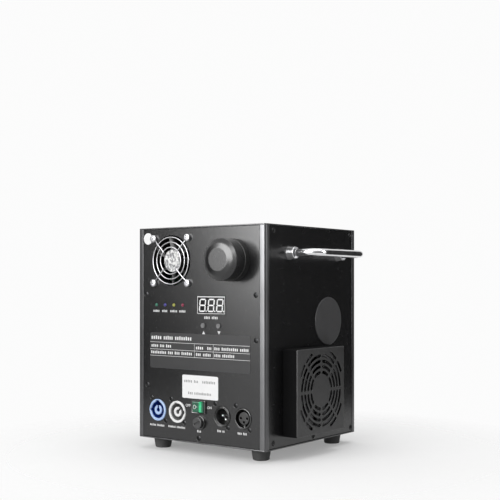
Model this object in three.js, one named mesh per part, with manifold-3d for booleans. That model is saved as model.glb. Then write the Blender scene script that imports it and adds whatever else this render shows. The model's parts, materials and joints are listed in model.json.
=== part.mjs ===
// Cold spark machine: a floor-standing effects box with a vertical spark outlet.
// Millimetres, +Z up. The pieces are built round the housing's centre line, and
// the whole machine is then set so that the origin is the middle of its box on the floor.

import * as THREE from "three";
import { mergeVertices } from "three/addons/utils/BufferGeometryUtils.js";
import Module from "manifold-3d";

// Housing
const HOUSING_WIDTH = 180;
const HOUSING_DEPTH = 180;
const HOUSING_HEIGHT = 238;
const HOUSING_CORNER_RADIUS = 3;
const SHEET_THICKNESS = 1.5;

// Clearances and overruns shared by all pieces
const SEAT_GAP = 0.3;
const CUT_OVERRUN = 1;
const WELD_OVERLAP = 0.5;
const MERGE_TOLERANCE = 1e-4;

// Corner posts and the recess that takes the panels
const POST_FACE_WIDTH = 7.2;
const POST_WALL = 2;
const POST_FLANGE_LENGTH = 8;
const PANEL_RECESS = 0.4;
const BASE_LIP_HEIGHT = 12;
const TOP_LIP_HEIGHT = 4;
const LIP_END_GAP = 1.5;

// Feet
const FOOT_HEIGHT = 12.5;
const FOOT_TOP_RADIUS = 10.8;
const FOOT_BOTTOM_RADIUS = 8.8;
const FOOT_EDGE_RADIUS = 1.5;
const FOOT_INSET = 20;

// Shares of the housing's height taken by the spark path, from the blower up to the hopper
const BLOWER_DUCT_SHARE = 0.40336;
const CHAMBER_SHARE = 0.23529;
const AUGER_RISE_SHARE = 0.07983;
const HEATER_SHARE = 0.07563;
const HOPPER_DROP_SHARE = 0.16933;

// Outlet ring and spark tube
const TUBE_BORE_RADIUS = 11;
const TUBE_WALL = 1.5;
const OUTLET_FLANGE_RADIUS = 24;
const OUTLET_FLANGE_THICKNESS = 1.5;
const OUTLET_SPIGOT_WALL = 3;
const OUTLET_SPIGOT_DEPTH = 10;
const OUTLET_SHOULDER = 4;

// Blower at the bottom, which blows up through the chamber
const BLOWER_DRUM_RADIUS = 30;
const BLOWER_WIDTH = 26;
const BLOWER_WALL = 2;
const BLOWER_AXIS_HEIGHT = 34;
const BLOWER_DUCT_WIDTH = 22;
const BLOWER_DUCT_TOP = BLOWER_DUCT_SHARE * HOUSING_HEIGHT;
const BLOWER_EYE_RADIUS = 15;
const BLOWER_FOOT_HALF_WIDTH = 15;
const IMPELLER_RADIUS = 22;
const IMPELLER_WIDTH = 18;
const IMPELLER_DISC = 1.6;
const IMPELLER_BLADE_DEPTH = 6;
const IMPELLER_BLADE_THICKNESS = 1;
const IMPELLER_HUB_RADIUS = 4;
const BLOWER_SHAFT_RADIUS = 1.8;
const BLOWER_SHAFT_REACH = 8;
const BLOWER_MOTOR_RADIUS = 14;
const BLOWER_MOTOR_LENGTH = 24;

// Spark chamber and its heater band
const CHAMBER_RADIUS = 21;
const CHAMBER_WALL = 2.5;
const CHAMBER_FLOOR = 2;
const CHAMBER_HEIGHT = CHAMBER_SHARE * HOUSING_HEIGHT;
const CHAMBER_LID = 4;
const CHAMBER_INLET_RADIUS = 9;
const TUBE_SEAT_DEPTH = 2;
const HEATER_THICKNESS = 4;
const HEATER_WIDTH = HEATER_SHARE * HOUSING_HEIGHT;
const HEATER_BELOW_LID = 6;

// Granule feed: auger in its tube, with the gear motor on its end
const AUGER_HEIGHT = BLOWER_DUCT_TOP + AUGER_RISE_SHARE * HOUSING_HEIGHT;
const AUGER_TUBE_RADIUS = 8;
const AUGER_TUBE_BORE = 6;
const AUGER_TUBE_END = 64;
const AUGER_RADIUS = 5.6;
const AUGER_CORE_RADIUS = 1.8;
const AUGER_FLIGHT_THICKNESS = 1.2;
const AUGER_TURNS = 4;
const AUGER_END_GAP = 2;
const AUGER_SHAFT_REACH = 8;
const GEAR_MOTOR_RADIUS = 11;
const GEAR_MOTOR_LENGTH = 16;

// Granule hopper
const HOPPER_HALF_WIDTH = 26;
const HOPPER_FRONT_SETBACK = 24;
const HOPPER_DEPTH = 80;
const HOPPER_WALL = 2;
const HOPPER_ABOVE_FILLER = 23.7;
const HOPPER_BELOW_FILLER = HOPPER_DROP_SHARE * HOUSING_HEIGHT;
const HOPPER_THROAT_HEIGHT = 15;
const HOPPER_THROAT_HALF = 7;
const SPOUT_RADIUS = 4.9;
const SPOUT_BORE = 3.4;

// Filler neck, cap and the loose liner inside the cap
const FILLER_U = 47.2;
const FILLER_BELOW_TOP = 37.7;
const NECK_RADIUS = 18;
const NECK_BORE = 15;
const NECK_LENGTH = 20.5;
const COLLAR_RADIUS = 22.8;
const COLLAR_HEIGHT = 7.5;
const CAP_RADIUS = 22.3;
const CAP_RIM_HEIGHT = 21.9;
const CAP_TOP_HEIGHT = 26.4;
const CAP_FLAT_RADIUS = 11.6;
const CAP_RIM_FILLET = 0.8;
const LINER_THICKNESS = 1.5;

// Fan parts of the same form in both fans
const FAN_CORNER_RADIUS = 4;
const FAN_STATOR_SETBACK = 0.8;
const FAN_STATOR_THICKNESS = 2.4;
const FAN_STRUT_WIDTH = 2.6;
const FAN_HUB_WALL = 1.6;
const FAN_BEARING_RADIUS = 3.5;
const FAN_SHAFT_RADIUS = 1.3;
const FAN_BACK_GAP = 0.8;
const FAN_TIP_GAP = 0.5;
const FAN_BLADE_THICKNESS = 1.2;
const FAN_BLADE_ANGLE = (40 * Math.PI) / 180;
const FAN_BLADES = 7;
const FAN_STRUTS = 3;

// Small fan behind the control panel
const PANEL_FAN_U = -40.6;
const PANEL_FAN_BELOW_TOP = 37.2;
const PANEL_FAN_SIZE = 60;
const PANEL_FAN_DEPTH = 15;
const PANEL_FAN_BORE = 28.5;
const PANEL_FAN_HUB = 12.8;
const PANEL_FAN_SCREW_SPACING = 50;
const PANEL_FAN_SCREW_HOLE = 2.1;

// Wire guard over the small fan
const GUARD_WIRE_RADIUS = 0.85;
const GUARD_OUTER_RING = 26.2;
const GUARD_MIDDLE_RING = 20.6;
const GUARD_INNER_RING = 15;
const GUARD_ARM_END = 13;
const GUARD_EYE_RADIUS = 3;

// Large fan under its cover on the handle side
const SIDE_FAN_U = -10.5;
const SIDE_FAN_V = 58.5;
const SIDE_FAN_SIZE = 80;
const SIDE_FAN_DEPTH = 15;
const SIDE_FAN_BORE = 38.3;
const SIDE_FAN_HUB = 17;
const SIDE_FAN_SCREW_SPACING = 71.5;
const SIDE_FAN_SCREW_HOLE = 2.2;
const COVER_SIZE = 93;
const COVER_DEPTH = 18.4;
const COVER_WALL = 1.5;
const COVER_CORNER_RADIUS = 1.2;
const GRILLE_FIRST_RADIUS = 20;
const GRILLE_PITCH = 6;
const GRILLE_SLOT_WIDTH = 3.8;
const GRILLE_SPOKE_WIDTH = 2.8;
const GRILLE_FULL_RINGS = 4;
const GRILLE_EDGE_LAND = 4.5;

// Reader window and the board behind it
const READER_U = 31.5;
const READER_V = 132.8;
const READER_RADIUS = 27.1;
const READER_RIM_THICKNESS = 0.8;
const READER_RIM_WIDTH = 2.4;
const READER_DEPTH = 2.6;
const READER_BOARD_SIZE = 50;
const READER_BOARD_STANDOFF = 5;

// Carrying handle
const HANDLE_U = 2;
const HANDLE_SPAN = 96;
const HANDLE_BELOW_TOP = 29.8;
const HANDLE_BAR_RADIUS = 4;
const HANDLE_STANDOFF = 36.4;
const HANDLE_BEND_RADIUS = 14;
const HANDLE_STEPS = 32;
const BOSS_RADIUS = 7.6;
const BOSS_HEIGHT = 9;
const BOSS_RECESS_RADIUS = 5.9;
const BOSS_RECESS_DEPTH = 3;
const BOSS_FLOOR = 0.7;

// Boards and their standoffs
const BOARD_THICKNESS = 1.6;
const STANDOFF_RADIUS = 3;
const STANDOFF_INSET = 4.5;
const CONTROL_BOARD_LEFT = -71;
const CONTROL_BOARD_RIGHT = 44;
const CONTROL_BOARD_BELOW_TOP = 69.5;
const CONTROL_BOARD_HEIGHT = 48;
const CONTROL_BOARD_STANDOFF = 8.1;
const DRIVER_BOARD_U = -10;
const DRIVER_BOARD_V = 140;
const DRIVER_BOARD_WIDTH = 100;
const DRIVER_BOARD_HEIGHT = 90;
const DRIVER_BOARD_STANDOFF = 8;
const CAPACITOR_RADIUS = 8;
const CAPACITOR_HEIGHT = 20;
const CAPACITOR_SPACING = 22;
const HEAT_SINK_LENGTH = 60;
const HEAT_SINK_WIDTH = 18;
const HEAT_SINK_HEIGHT = 14;
const HEAT_SINK_OFFSET = 26;

// Power supply on the base plate
const SUPPLY_WIDTH = 140;
const SUPPLY_MOTOR_GAP = 4;
const SUPPLY_BACK_GAP = 7;
const SUPPLY_HEIGHT = 38;
const SUPPLY_TERMINAL_WIDTH = 16;
const SUPPLY_TERMINAL_HEIGHT = 16;

// Indicator lamps, display and push buttons
const LED_BELOW_TOP = 86.7;
const LED_FIRST_U = -62.6;
const LED_PITCH = 13;
const LED_RADIUS = 1.9;
const LED_DOME_HEIGHT = 1;
const LED_FLANGE_RADIUS = 2.8;
const LED_FLANGE_THICKNESS = 1;
const DISPLAY_U = 17.5;
const DISPLAY_BELOW_TOP = 86.2;
const DISPLAY_WIDTH = 38.9;
const DISPLAY_HEIGHT = 19.4;
const DISPLAY_PROUD = 0.5;
const BUTTON_U = 17.1;
const BUTTON_SPACING = 21.6;
const BUTTON_BELOW_TOP = 108.6;
const BUTTON_RADIUS = 2.8;
const BUTTON_PROUD = 1.7;
const BUTTON_EDGE = 0.5;
const BUTTON_FLANGE_RADIUS = 3.9;
const BUTTON_FLANGE_THICKNESS = 1.2;
const BUTTON_TRAVEL = 0.8;
const BUTTON_TRAVEL_SPARE = 0.3;
const TACT_SWITCH_SIZE = 6;
const TACT_SWITCH_HEIGHT = 2.4;

// Sockets in a row along the bottom of the control panel
const SOCKET_V = 32.6;
const POWER_IN_U = -60.4;
const POWER_OUT_U = -31.2;
const DATA_IN_U = 32.6;
const DATA_OUT_U = 60.9;
const SOCKET_FLANGE_WIDTH = 26;
const SOCKET_FLANGE_HEIGHT = 31;
const SOCKET_FLANGE_THICKNESS = 2;
const SOCKET_FLANGE_CORNER = 3;
const SOCKET_PROUD = 1;
const SOCKET_LIP_CHAMFER = 0.6;
const POWER_BARREL_RADIUS = 12.2;
const POWER_GROOVE_RADIUS = 9.8;
const POWER_CORE_RADIUS = 5.2;
const POWER_CORE_BORE = 2.4;
const POWER_CORE_SETBACK = 0.6;
const POWER_CORE_SLOT = 2.2;
const POWER_GROOVE_DEPTH = 14;
const POWER_CORE_BORE_DEPTH = 10;
const POWER_BODY_DEPTH = 20;
const DATA_BARREL_RADIUS = 10.9;
const DATA_BORE_RADIUS = 8.7;
const DATA_GROOVE_RADIUS = 9.6;
const DATA_INSERT_RADIUS = 6.75;
const DATA_INSERT_SETBACK = 1;
const DATA_BODY_DEPTH = 20;
const DATA_BORE_DEPTH = 14;
const DATA_PIN_RADIUS = 1.2;
const DATA_PIN_TIP_SETBACK = 5.5;
const DATA_PIN_CIRCLE = 4.1;
const DATA_PIN_HOLE_RADIUS = 1.5;
const DATA_PIN_HOLE_DEPTH = 9;

// Rocker switch, laid on its side
const SWITCH_U = 0.1;
const SWITCH_V = 40.4;
const SWITCH_BEZEL_WIDTH = 20.4;
const SWITCH_BEZEL_HEIGHT = 14.8;
const SWITCH_BEZEL_PROUD = 2;
const SWITCH_BEZEL_CORNER = 1;
const SWITCH_BODY_WIDTH = 18.4;
const SWITCH_BODY_HEIGHT = 13.4;
const SWITCH_BODY_DEPTH = 16;
const SWITCH_WELL_WIDTH = 15.8;
const SWITCH_WELL_HEIGHT = 12;
const SWITCH_WELL_DEPTH = 9;
const ROCKER_LENGTH = 13.8;
const ROCKER_PIVOT_DEPTH = 1.5;
const ROCKER_CENTRE_PROUD = 1.8;
const ROCKER_FOOT_WIDTH = 8;
const ROCKER_FOOT_DEPTH = 5;
const ROCKER_TILT = (8 * Math.PI) / 180;

// Fuse holder, fuse and its slotted cap
const FUSE_U = 1.6;
const FUSE_V = 23.4;
const FUSE_FLANGE_RADIUS = 7.7;
const FUSE_FLANGE_THICKNESS = 2.2;
const FUSE_BODY_RADIUS = 6;
const FUSE_BORE_RADIUS = 4.3;
const FUSE_BODY_DEPTH = 32;
const FUSE_CAP_RADIUS = 6.2;
const FUSE_CAP_HEIGHT = 3.2;
const FUSE_CAP_EDGE = 0.6;
const FUSE_CAP_PLUG_LENGTH = 8;
const FUSE_CAP_SOCKET_DEPTH = 4.5;
const FUSE_CAP_SLOT_WIDTH = 1.2;
const FUSE_CAP_SLOT_DEPTH = 1;
const FUSE_CAP_SLOT_LENGTH = 9;
const FUSE_CAP_SLOT_ANGLE = (25 * Math.PI) / 180;
const FUSE_RADIUS = 2.6;
const FUSE_LENGTH = 20;

// Faces on round pieces
const FINE_SIDES = 28;
const ROUND_SIDES = 16;
const SMALL_SIDES = 12;
const TINY_SIDES = 8;
const WIRE_SIDES = 4;
const CORNER_STEPS = 3;
const SLOT_STEPS = 2;

// Planes and edges that several pieces share
const PANEL_FACE_X = HOUSING_WIDTH / 2 - PANEL_RECESS;
const PANEL_FACE_Y = HOUSING_DEPTH / 2 - PANEL_RECESS;
const PANEL_EDGE_X = HOUSING_WIDTH / 2 - POST_FACE_WIDTH - SEAT_GAP;
const PANEL_EDGE_Y = HOUSING_DEPTH / 2 - POST_FACE_WIDTH - SEAT_GAP;
const PANEL_BOTTOM = SHEET_THICKNESS + SEAT_GAP;
const PANEL_TOP = HOUSING_HEIGHT - SHEET_THICKNESS - SEAT_GAP;
const PANEL_BACK = -SHEET_THICKNESS;
const RABBET_DEPTH = PANEL_RECESS + SHEET_THICKNESS + SEAT_GAP;
const PANEL_FAN_V = HOUSING_HEIGHT - PANEL_FAN_BELOW_TOP;
const FILLER_V = HOUSING_HEIGHT - FILLER_BELOW_TOP;
const HANDLE_V = HOUSING_HEIGHT - HANDLE_BELOW_TOP;
const LED_V = HOUSING_HEIGHT - LED_BELOW_TOP;
const DISPLAY_V = HOUSING_HEIGHT - DISPLAY_BELOW_TOP;
const BUTTON_V = HOUSING_HEIGHT - BUTTON_BELOW_TOP;
const CONTROL_BOARD_FRONT = PANEL_BACK - CONTROL_BOARD_STANDOFF;
const BLOWER_AXIS_X = BLOWER_DUCT_WIDTH / 2 - BLOWER_DRUM_RADIUS;
const CHAMBER_LID_TOP = BLOWER_DUCT_TOP + CHAMBER_HEIGHT;
const TUBE_RADIUS = TUBE_BORE_RADIUS + TUBE_WALL;

const wasm = await Module();
wasm.setup();

// Finishes
function finish(colour, roughness, metalness) {
  return new THREE.MeshStandardMaterial({ color: colour, roughness, metalness });
}

const finishes = {
  blackPaint: finish(0x17171a, 0.45, 0.1),
  blackPlastic: finish(0x111113, 0.5, 0),
  greyPlastic: finish(0x3a3a3e, 0.5, 0),
  windowPlastic: finish(0x26262a, 0.55, 0),
  bluePlastic: finish(0x2a4fb0, 0.4, 0),
  whitePlastic: finish(0xd8d8d8, 0.45, 0),
  rubber: finish(0x141414, 0.85, 0),
  chrome: finish(0xd0d2d6, 0.12, 1),
  steel: finish(0x9a9ca0, 0.35, 1),
  ceramic: finish(0xcfc8ba, 0.8, 0),
  board: finish(0x1c4a2c, 0.6, 0),
  glass: finish(0xcfe4e8, 0.1, 0),
  displayGlass: finish(0x0a0a0c, 0.15, 0),
  greenLamp: finish(0x1f9d55, 0.25, 0),
  blueLamp: finish(0x2f6fd8, 0.25, 0),
  yellowLamp: finish(0xd8b32f, 0.25, 0),
  redLamp: finish(0xc8322f, 0.25, 0),
};

// Solids: joining and cutting closed meshes
function toSolid(geometry) {
  const bare = geometry.clone();
  bare.deleteAttribute("normal");
  bare.deleteAttribute("uv");
  const merged = mergeVertices(bare, MERGE_TOLERANCE);
  const mesh = new wasm.Mesh({
    numProp: 3,
    vertProperties: new Float32Array(merged.attributes.position.array),
    triVerts: new Uint32Array(merged.index.array),
  });
  return new wasm.Manifold(mesh);
}

function toGeometry(solid) {
  const mesh = solid.getMesh();
  const geometry = new THREE.BufferGeometry();
  geometry.setAttribute("position", new THREE.BufferAttribute(new Float32Array(mesh.vertProperties), 3));
  geometry.setIndex(new THREE.BufferAttribute(new Uint32Array(mesh.triVerts), 1));
  geometry.computeVertexNormals();
  return geometry;
}

function join(...pieces) {
  const solid = pieces.map(toSolid).reduce((whole, piece) => whole.add(piece));
  return toGeometry(solid);
}

function cut(body, ...tools) {
  const solid = tools.map(toSolid).reduce((whole, tool) => whole.subtract(tool), toSolid(body));
  return toGeometry(solid);
}

// Outlines in a plane
function ringPoints(radius, sides, u = 0, v = 0) {
  return Array.from({ length: sides }, (_, k) => {
    const angle = (k / sides) * 2 * Math.PI;
    return new THREE.Vector2(u + radius * Math.cos(angle), v + radius * Math.sin(angle));
  });
}

function rectanglePoints(left, bottom, right, top) {
  return [
    new THREE.Vector2(left, bottom),
    new THREE.Vector2(right, bottom),
    new THREE.Vector2(right, top),
    new THREE.Vector2(left, top),
  ];
}

function roundedPoints(halfU, halfV, radius, u = 0, v = 0) {
  const points = [];
  const corners = [[1, 1], [-1, 1], [-1, -1], [1, -1]];
  corners.forEach(([sideU, sideV], quarter) => {
    for (let k = 0; k <= CORNER_STEPS; k += 1) {
      const angle = (quarter + k / CORNER_STEPS) * (Math.PI / 2);
      const pointU = u + sideU * (halfU - radius) + radius * Math.cos(angle);
      const pointV = v + sideV * (halfV - radius) + radius * Math.sin(angle);
      points.push(new THREE.Vector2(pointU, pointV));
    }
  });
  return points;
}

// Solid forms; each lies along its own third axis
function prism(outline, from, to, holes = []) {
  const shape = new THREE.Shape(outline);
  shape.holes = holes.map((hole) => new THREE.Path(hole));
  const geometry = new THREE.ExtrudeGeometry(shape, { depth: to - from, bevelEnabled: false, steps: 1 });
  geometry.translate(0, 0, from);
  return geometry;
}

function rod(radius, from, to, sides, u = 0, v = 0) {
  return prism(ringPoints(radius, sides, u, v), from, to);
}

function block(low, high) {
  const geometry = new THREE.BoxGeometry(high[0] - low[0], high[1] - low[1], high[2] - low[2]);
  geometry.translate((low[0] + high[0]) / 2, (low[1] + high[1]) / 2, (low[2] + high[2]) / 2);
  return geometry;
}

// A turned piece from a profile of [radius, height] points, its axis along the third axis
function turned(profile, sides) {
  const points = profile.map(([radius, height]) => new THREE.Vector2(radius, height));
  const geometry = new THREE.LatheGeometry(points, sides);
  geometry.rotateX(Math.PI / 2);
  return geometry;
}

// A straight loft between two level rectangles, each given as [left, back, right, front, height]
function rectangleLoft(lower, upper) {
  const corners = [lower, upper].flatMap(([left, back, right, front, height]) => {
    return [[left, back, height], [right, back, height], [right, front, height], [left, front, height]];
  });
  const faces = [0, 2, 1, 0, 3, 2, 4, 5, 6, 4, 6, 7];
  for (let k = 0; k < 4; k += 1) {
    const next = (k + 1) % 4;
    faces.push(k, next, next + 4, k, next + 4, k + 4);
  }
  const geometry = new THREE.BufferGeometry();
  geometry.setAttribute("position", new THREE.Float32BufferAttribute(corners.flat(), 3));
  geometry.setIndex(faces);
  return geometry;
}

// Groups whose third axis points out of one side of the machine
function facing(outward, origin) {
  const up = new THREE.Vector3(0, 0, 1);
  const right = new THREE.Vector3().crossVectors(up, outward);
  const group = new THREE.Group();
  group.matrix.makeBasis(right, up, outward).setPosition(origin);
  group.matrixAutoUpdate = false;
  return group;
}

function addPiece(group, name, geometry, material) {
  const mesh = new THREE.Mesh(geometry, material);
  mesh.name = name;
  group.add(mesh);
  return mesh;
}

function moved(geometry, x, y, z = 0) {
  const copy = geometry.clone();
  copy.translate(x, y, z);
  return copy;
}

// Housing plates and posts
function lips(from, to) {
  const halfX = HOUSING_WIDTH / 2 - RABBET_DEPTH;
  const halfY = HOUSING_DEPTH / 2 - RABBET_DEPTH;
  const endX = HOUSING_WIDTH / 2 - POST_FACE_WIDTH - POST_FLANGE_LENGTH - LIP_END_GAP;
  const endY = HOUSING_DEPTH / 2 - POST_FACE_WIDTH - POST_FLANGE_LENGTH - LIP_END_GAP;
  const innerX = halfX - SHEET_THICKNESS;
  const innerY = halfY - SHEET_THICKNESS;
  return [
    block([-endX, -halfY, from], [endX, -innerY, to]),
    block([-endX, innerY, from], [endX, halfY, to]),
    block([-halfX, -endY, from], [-innerX, endY, to]),
    block([innerX, -endY, from], [halfX, endY, to]),
  ];
}

function basePlate() {
  const outline = roundedPoints(HOUSING_WIDTH / 2, HOUSING_DEPTH / 2, HOUSING_CORNER_RADIUS);
  const plate = prism(outline, 0, SHEET_THICKNESS);
  return join(plate, ...lips(SHEET_THICKNESS - WELD_OVERLAP, SHEET_THICKNESS + BASE_LIP_HEIGHT));
}

function topPlate() {
  const top = HOUSING_HEIGHT;
  const under = top - SHEET_THICKNESS;
  const outline = roundedPoints(HOUSING_WIDTH / 2, HOUSING_DEPTH / 2, HOUSING_CORNER_RADIUS);
  const hole = ringPoints(TUBE_RADIUS + SEAT_GAP + OUTLET_SPIGOT_WALL + SEAT_GAP, FINE_SIDES);
  const plate = prism(outline, under, top, [hole]);
  return join(plate, ...lips(under - TOP_LIP_HEIGHT, under + WELD_OVERLAP));
}

function cornerPost(sideX, sideY) {
  const inner = RABBET_DEPTH + POST_WALL;
  const end = POST_FACE_WIDTH + POST_FLANGE_LENGTH;
  const radius = HOUSING_CORNER_RADIUS;
  const profile = [
    [POST_FACE_WIDTH, 0],
    [POST_FACE_WIDTH, RABBET_DEPTH],
    [end, RABBET_DEPTH],
    [end, inner],
    [inner, inner],
    [inner, end],
    [RABBET_DEPTH, end],
    [RABBET_DEPTH, POST_FACE_WIDTH],
    [0, POST_FACE_WIDTH],
  ];
  for (let k = 0; k <= CORNER_STEPS; k += 1) {
    const angle = (k / CORNER_STEPS) * (Math.PI / 2);
    profile.push([radius - radius * Math.cos(angle), radius - radius * Math.sin(angle)]);
  }
  const outline = profile.map(([x, y]) => {
    return new THREE.Vector2(sideX * (HOUSING_WIDTH / 2 - x), sideY * (HOUSING_DEPTH / 2 - y));
  });
  return prism(outline, SHEET_THICKNESS, HOUSING_HEIGHT - SHEET_THICKNESS);
}

function panel(edge, holes = []) {
  return prism(rectanglePoints(-edge, PANEL_BOTTOM, edge, PANEL_TOP), PANEL_BACK, 0, holes);
}

function foot() {
  const edge = FOOT_EDGE_RADIUS;
  const profile = [[0, -FOOT_HEIGHT], [FOOT_BOTTOM_RADIUS - edge, -FOOT_HEIGHT]];
  for (let k = 1; k <= CORNER_STEPS; k += 1) {
    const angle = (k / CORNER_STEPS) * (Math.PI / 2);
    const radius = FOOT_BOTTOM_RADIUS - edge + edge * Math.sin(angle);
    profile.push([radius, -FOOT_HEIGHT + edge - edge * Math.cos(angle)]);
  }
  profile.push([FOOT_TOP_RADIUS, 0], [0, 0]);
  return turned(profile, ROUND_SIDES);
}

// Spark outlet
function outletRing() {
  const spigot = TUBE_RADIUS + SEAT_GAP + OUTLET_SPIGOT_WALL;
  const top = HOUSING_HEIGHT + OUTLET_FLANGE_THICKNESS;
  const bottom = HOUSING_HEIGHT - OUTLET_SPIGOT_DEPTH;
  const seat = top - OUTLET_SHOULDER;
  return turned([
    [TUBE_BORE_RADIUS, seat],
    [TUBE_RADIUS + SEAT_GAP, seat],
    [TUBE_RADIUS + SEAT_GAP, bottom],
    [spigot, bottom],
    [spigot, HOUSING_HEIGHT],
    [OUTLET_FLANGE_RADIUS, HOUSING_HEIGHT],
    [OUTLET_FLANGE_RADIUS, top],
    [TUBE_BORE_RADIUS, top],
    [TUBE_BORE_RADIUS, seat],
  ], FINE_SIDES);
}

function sparkTube() {
  const bottom = CHAMBER_LID_TOP - TUBE_SEAT_DEPTH + SEAT_GAP;
  const top = HOUSING_HEIGHT + OUTLET_FLANGE_THICKNESS - OUTLET_SHOULDER - SEAT_GAP;
  const bore = ringPoints(TUBE_BORE_RADIUS, ROUND_SIDES);
  return prism(ringPoints(TUBE_RADIUS, ROUND_SIDES), bottom, top, [bore]);
}

function sparkChamber() {
  const bottom = BLOWER_DUCT_TOP;
  const floor = bottom + CHAMBER_FLOOR;
  const top = CHAMBER_LID_TOP;
  const lid = top - CHAMBER_LID;
  const inner = CHAMBER_RADIUS - CHAMBER_WALL;
  const body = rod(CHAMBER_RADIUS, bottom, top, ROUND_SIDES);
  const space = rod(inner, floor, lid, ROUND_SIDES);
  const inlet = rod(CHAMBER_INLET_RADIUS, bottom - CUT_OVERRUN, floor + CUT_OVERRUN, ROUND_SIDES);
  const outlet = rod(TUBE_BORE_RADIUS, lid - CUT_OVERRUN, top, ROUND_SIDES);
  const seat = rod(TUBE_RADIUS + SEAT_GAP, top - TUBE_SEAT_DEPTH, top + CUT_OVERRUN, ROUND_SIDES);
  const port = rod(AUGER_TUBE_RADIUS + SEAT_GAP, 0, CHAMBER_RADIUS + CUT_OVERRUN, ROUND_SIDES);
  port.rotateY(Math.PI / 2);
  return cut(body, space, inlet, outlet, seat, moved(port, 0, 0, AUGER_HEIGHT));
}

function heaterBand() {
  const top = CHAMBER_LID_TOP - HEATER_BELOW_LID;
  const inner = CHAMBER_RADIUS + SEAT_GAP;
  const hole = ringPoints(inner, ROUND_SIDES);
  return prism(ringPoints(inner + HEATER_THICKNESS, ROUND_SIDES), top - HEATER_WIDTH, top, [hole]);
}

// Blower, seen along its axis: the third axis points at the control panel
function blowerHousing() {
  const half = BLOWER_WIDTH / 2;
  const wall = BLOWER_WALL;
  const rise = BLOWER_DUCT_TOP - BLOWER_AXIS_HEIGHT;
  const ductRight = BLOWER_DRUM_RADIUS;
  const ductLeft = ductRight - BLOWER_DUCT_WIDTH;
  const floor = SHEET_THICKNESS - BLOWER_AXIS_HEIGHT;
  const footHalf = BLOWER_FOOT_HALF_WIDTH;
  const outer = join(
    rod(BLOWER_DRUM_RADIUS, -half, half, FINE_SIDES),
    block([ductLeft, 0, -half], [ductRight, rise, half]),
    block([-footHalf, floor, -half], [footHalf, -BLOWER_DRUM_RADIUS * Math.cos(Math.PI / 4), half]),
  );
  return cut(
    outer,
    rod(BLOWER_DRUM_RADIUS - wall, -half + wall, half - wall, FINE_SIDES),
    block([ductLeft + wall, 0, -half + wall], [ductRight - wall, rise + CUT_OVERRUN, half - wall]),
    rod(BLOWER_EYE_RADIUS, 0, half + CUT_OVERRUN, ROUND_SIDES),
    rod(BLOWER_SHAFT_RADIUS + SEAT_GAP, -half - CUT_OVERRUN, 0, SMALL_SIDES),
  );
}

function blowerImpeller() {
  const back = -IMPELLER_WIDTH / 2;
  const front = IMPELLER_WIDTH / 2;
  const shaftEnd = -BLOWER_WIDTH / 2 - BLOWER_SHAFT_REACH + SEAT_GAP;
  const pieces = [
    rod(IMPELLER_RADIUS, back, back + IMPELLER_DISC, ROUND_SIDES),
    rod(IMPELLER_HUB_RADIUS, back, 0, SMALL_SIDES),
    rod(BLOWER_SHAFT_RADIUS, shaftEnd, back + WELD_OVERLAP, SMALL_SIDES),
  ];
  for (let k = 0; k < SMALL_SIDES; k += 1) {
    const half = IMPELLER_BLADE_THICKNESS / 2;
    const blade = block(
      [IMPELLER_RADIUS - IMPELLER_BLADE_DEPTH, -half, back + IMPELLER_DISC - WELD_OVERLAP],
      [IMPELLER_RADIUS - WELD_OVERLAP, half, front],
    );
    blade.rotateZ((k / SMALL_SIDES) * 2 * Math.PI);
    pieces.push(blade);
  }
  return join(...pieces);
}

function blowerMotor() {
  const front = -BLOWER_WIDTH / 2;
  const body = rod(BLOWER_MOTOR_RADIUS, front - BLOWER_MOTOR_LENGTH, front, ROUND_SIDES);
  const boreEnd = front - BLOWER_SHAFT_REACH;
  const bore = rod(BLOWER_SHAFT_RADIUS + SEAT_GAP, boreEnd, front + CUT_OVERRUN, SMALL_SIDES);
  return cut(body, bore);
}

// Granule feed, its third axis along the auger and away from the spark tube
function augerTube() {
  const start = CHAMBER_RADIUS - CHAMBER_WALL + CUT_OVERRUN;
  const tube = prism(ringPoints(AUGER_TUBE_RADIUS, ROUND_SIDES), start, AUGER_TUBE_END, [
    ringPoints(AUGER_TUBE_BORE, ROUND_SIDES),
  ]);
  const inlet = rod(SPOUT_RADIUS + SEAT_GAP, 0, AUGER_TUBE_RADIUS + CUT_OVERRUN, SMALL_SIDES);
  inlet.rotateX(-Math.PI / 2);
  return cut(tube, moved(inlet, 0, 0, FILLER_U));
}

// One flight wound round the core, as a ribbon of rectangular section on a helix
function augerFlight(from, to) {
  const steps = AUGER_TURNS * SMALL_SIDES;
  const inner = AUGER_CORE_RADIUS - WELD_OVERLAP;
  const section = [[inner, 0], [AUGER_RADIUS, 0], [AUGER_RADIUS, 1], [inner, 1]];
  const rise = to - from - AUGER_FLIGHT_THICKNESS;
  const positions = [];
  const faces = [];
  for (let step = 0; step <= steps; step += 1) {
    const angle = (step / SMALL_SIDES) * 2 * Math.PI;
    section.forEach(([radius, side]) => {
      const along = from + (rise * step) / steps + side * AUGER_FLIGHT_THICKNESS;
      positions.push(radius * Math.cos(angle), radius * Math.sin(angle), along);
    });
  }
  for (let step = 0; step < steps; step += 1) {
    for (let k = 0; k < 4; k += 1) {
      const a = step * 4 + k;
      const b = step * 4 + ((k + 1) % 4);
      faces.push(a, a + 4, b + 4, a, b + 4, b);
    }
  }
  const last = steps * 4;
  faces.push(0, 1, 2, 0, 2, 3, last, last + 2, last + 1, last, last + 3, last + 2);
  const geometry = new THREE.BufferGeometry();
  geometry.setAttribute("position", new THREE.Float32BufferAttribute(positions, 3));
  geometry.setIndex(faces);
  return geometry;
}

function feedAuger() {
  const start = CHAMBER_RADIUS - CHAMBER_WALL + CUT_OVERRUN + AUGER_END_GAP;
  const end = AUGER_TUBE_END - AUGER_END_GAP;
  const core = rod(AUGER_CORE_RADIUS, start, AUGER_TUBE_END + AUGER_SHAFT_REACH - SEAT_GAP, SMALL_SIDES);
  return join(core, augerFlight(start, end));
}

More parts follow.
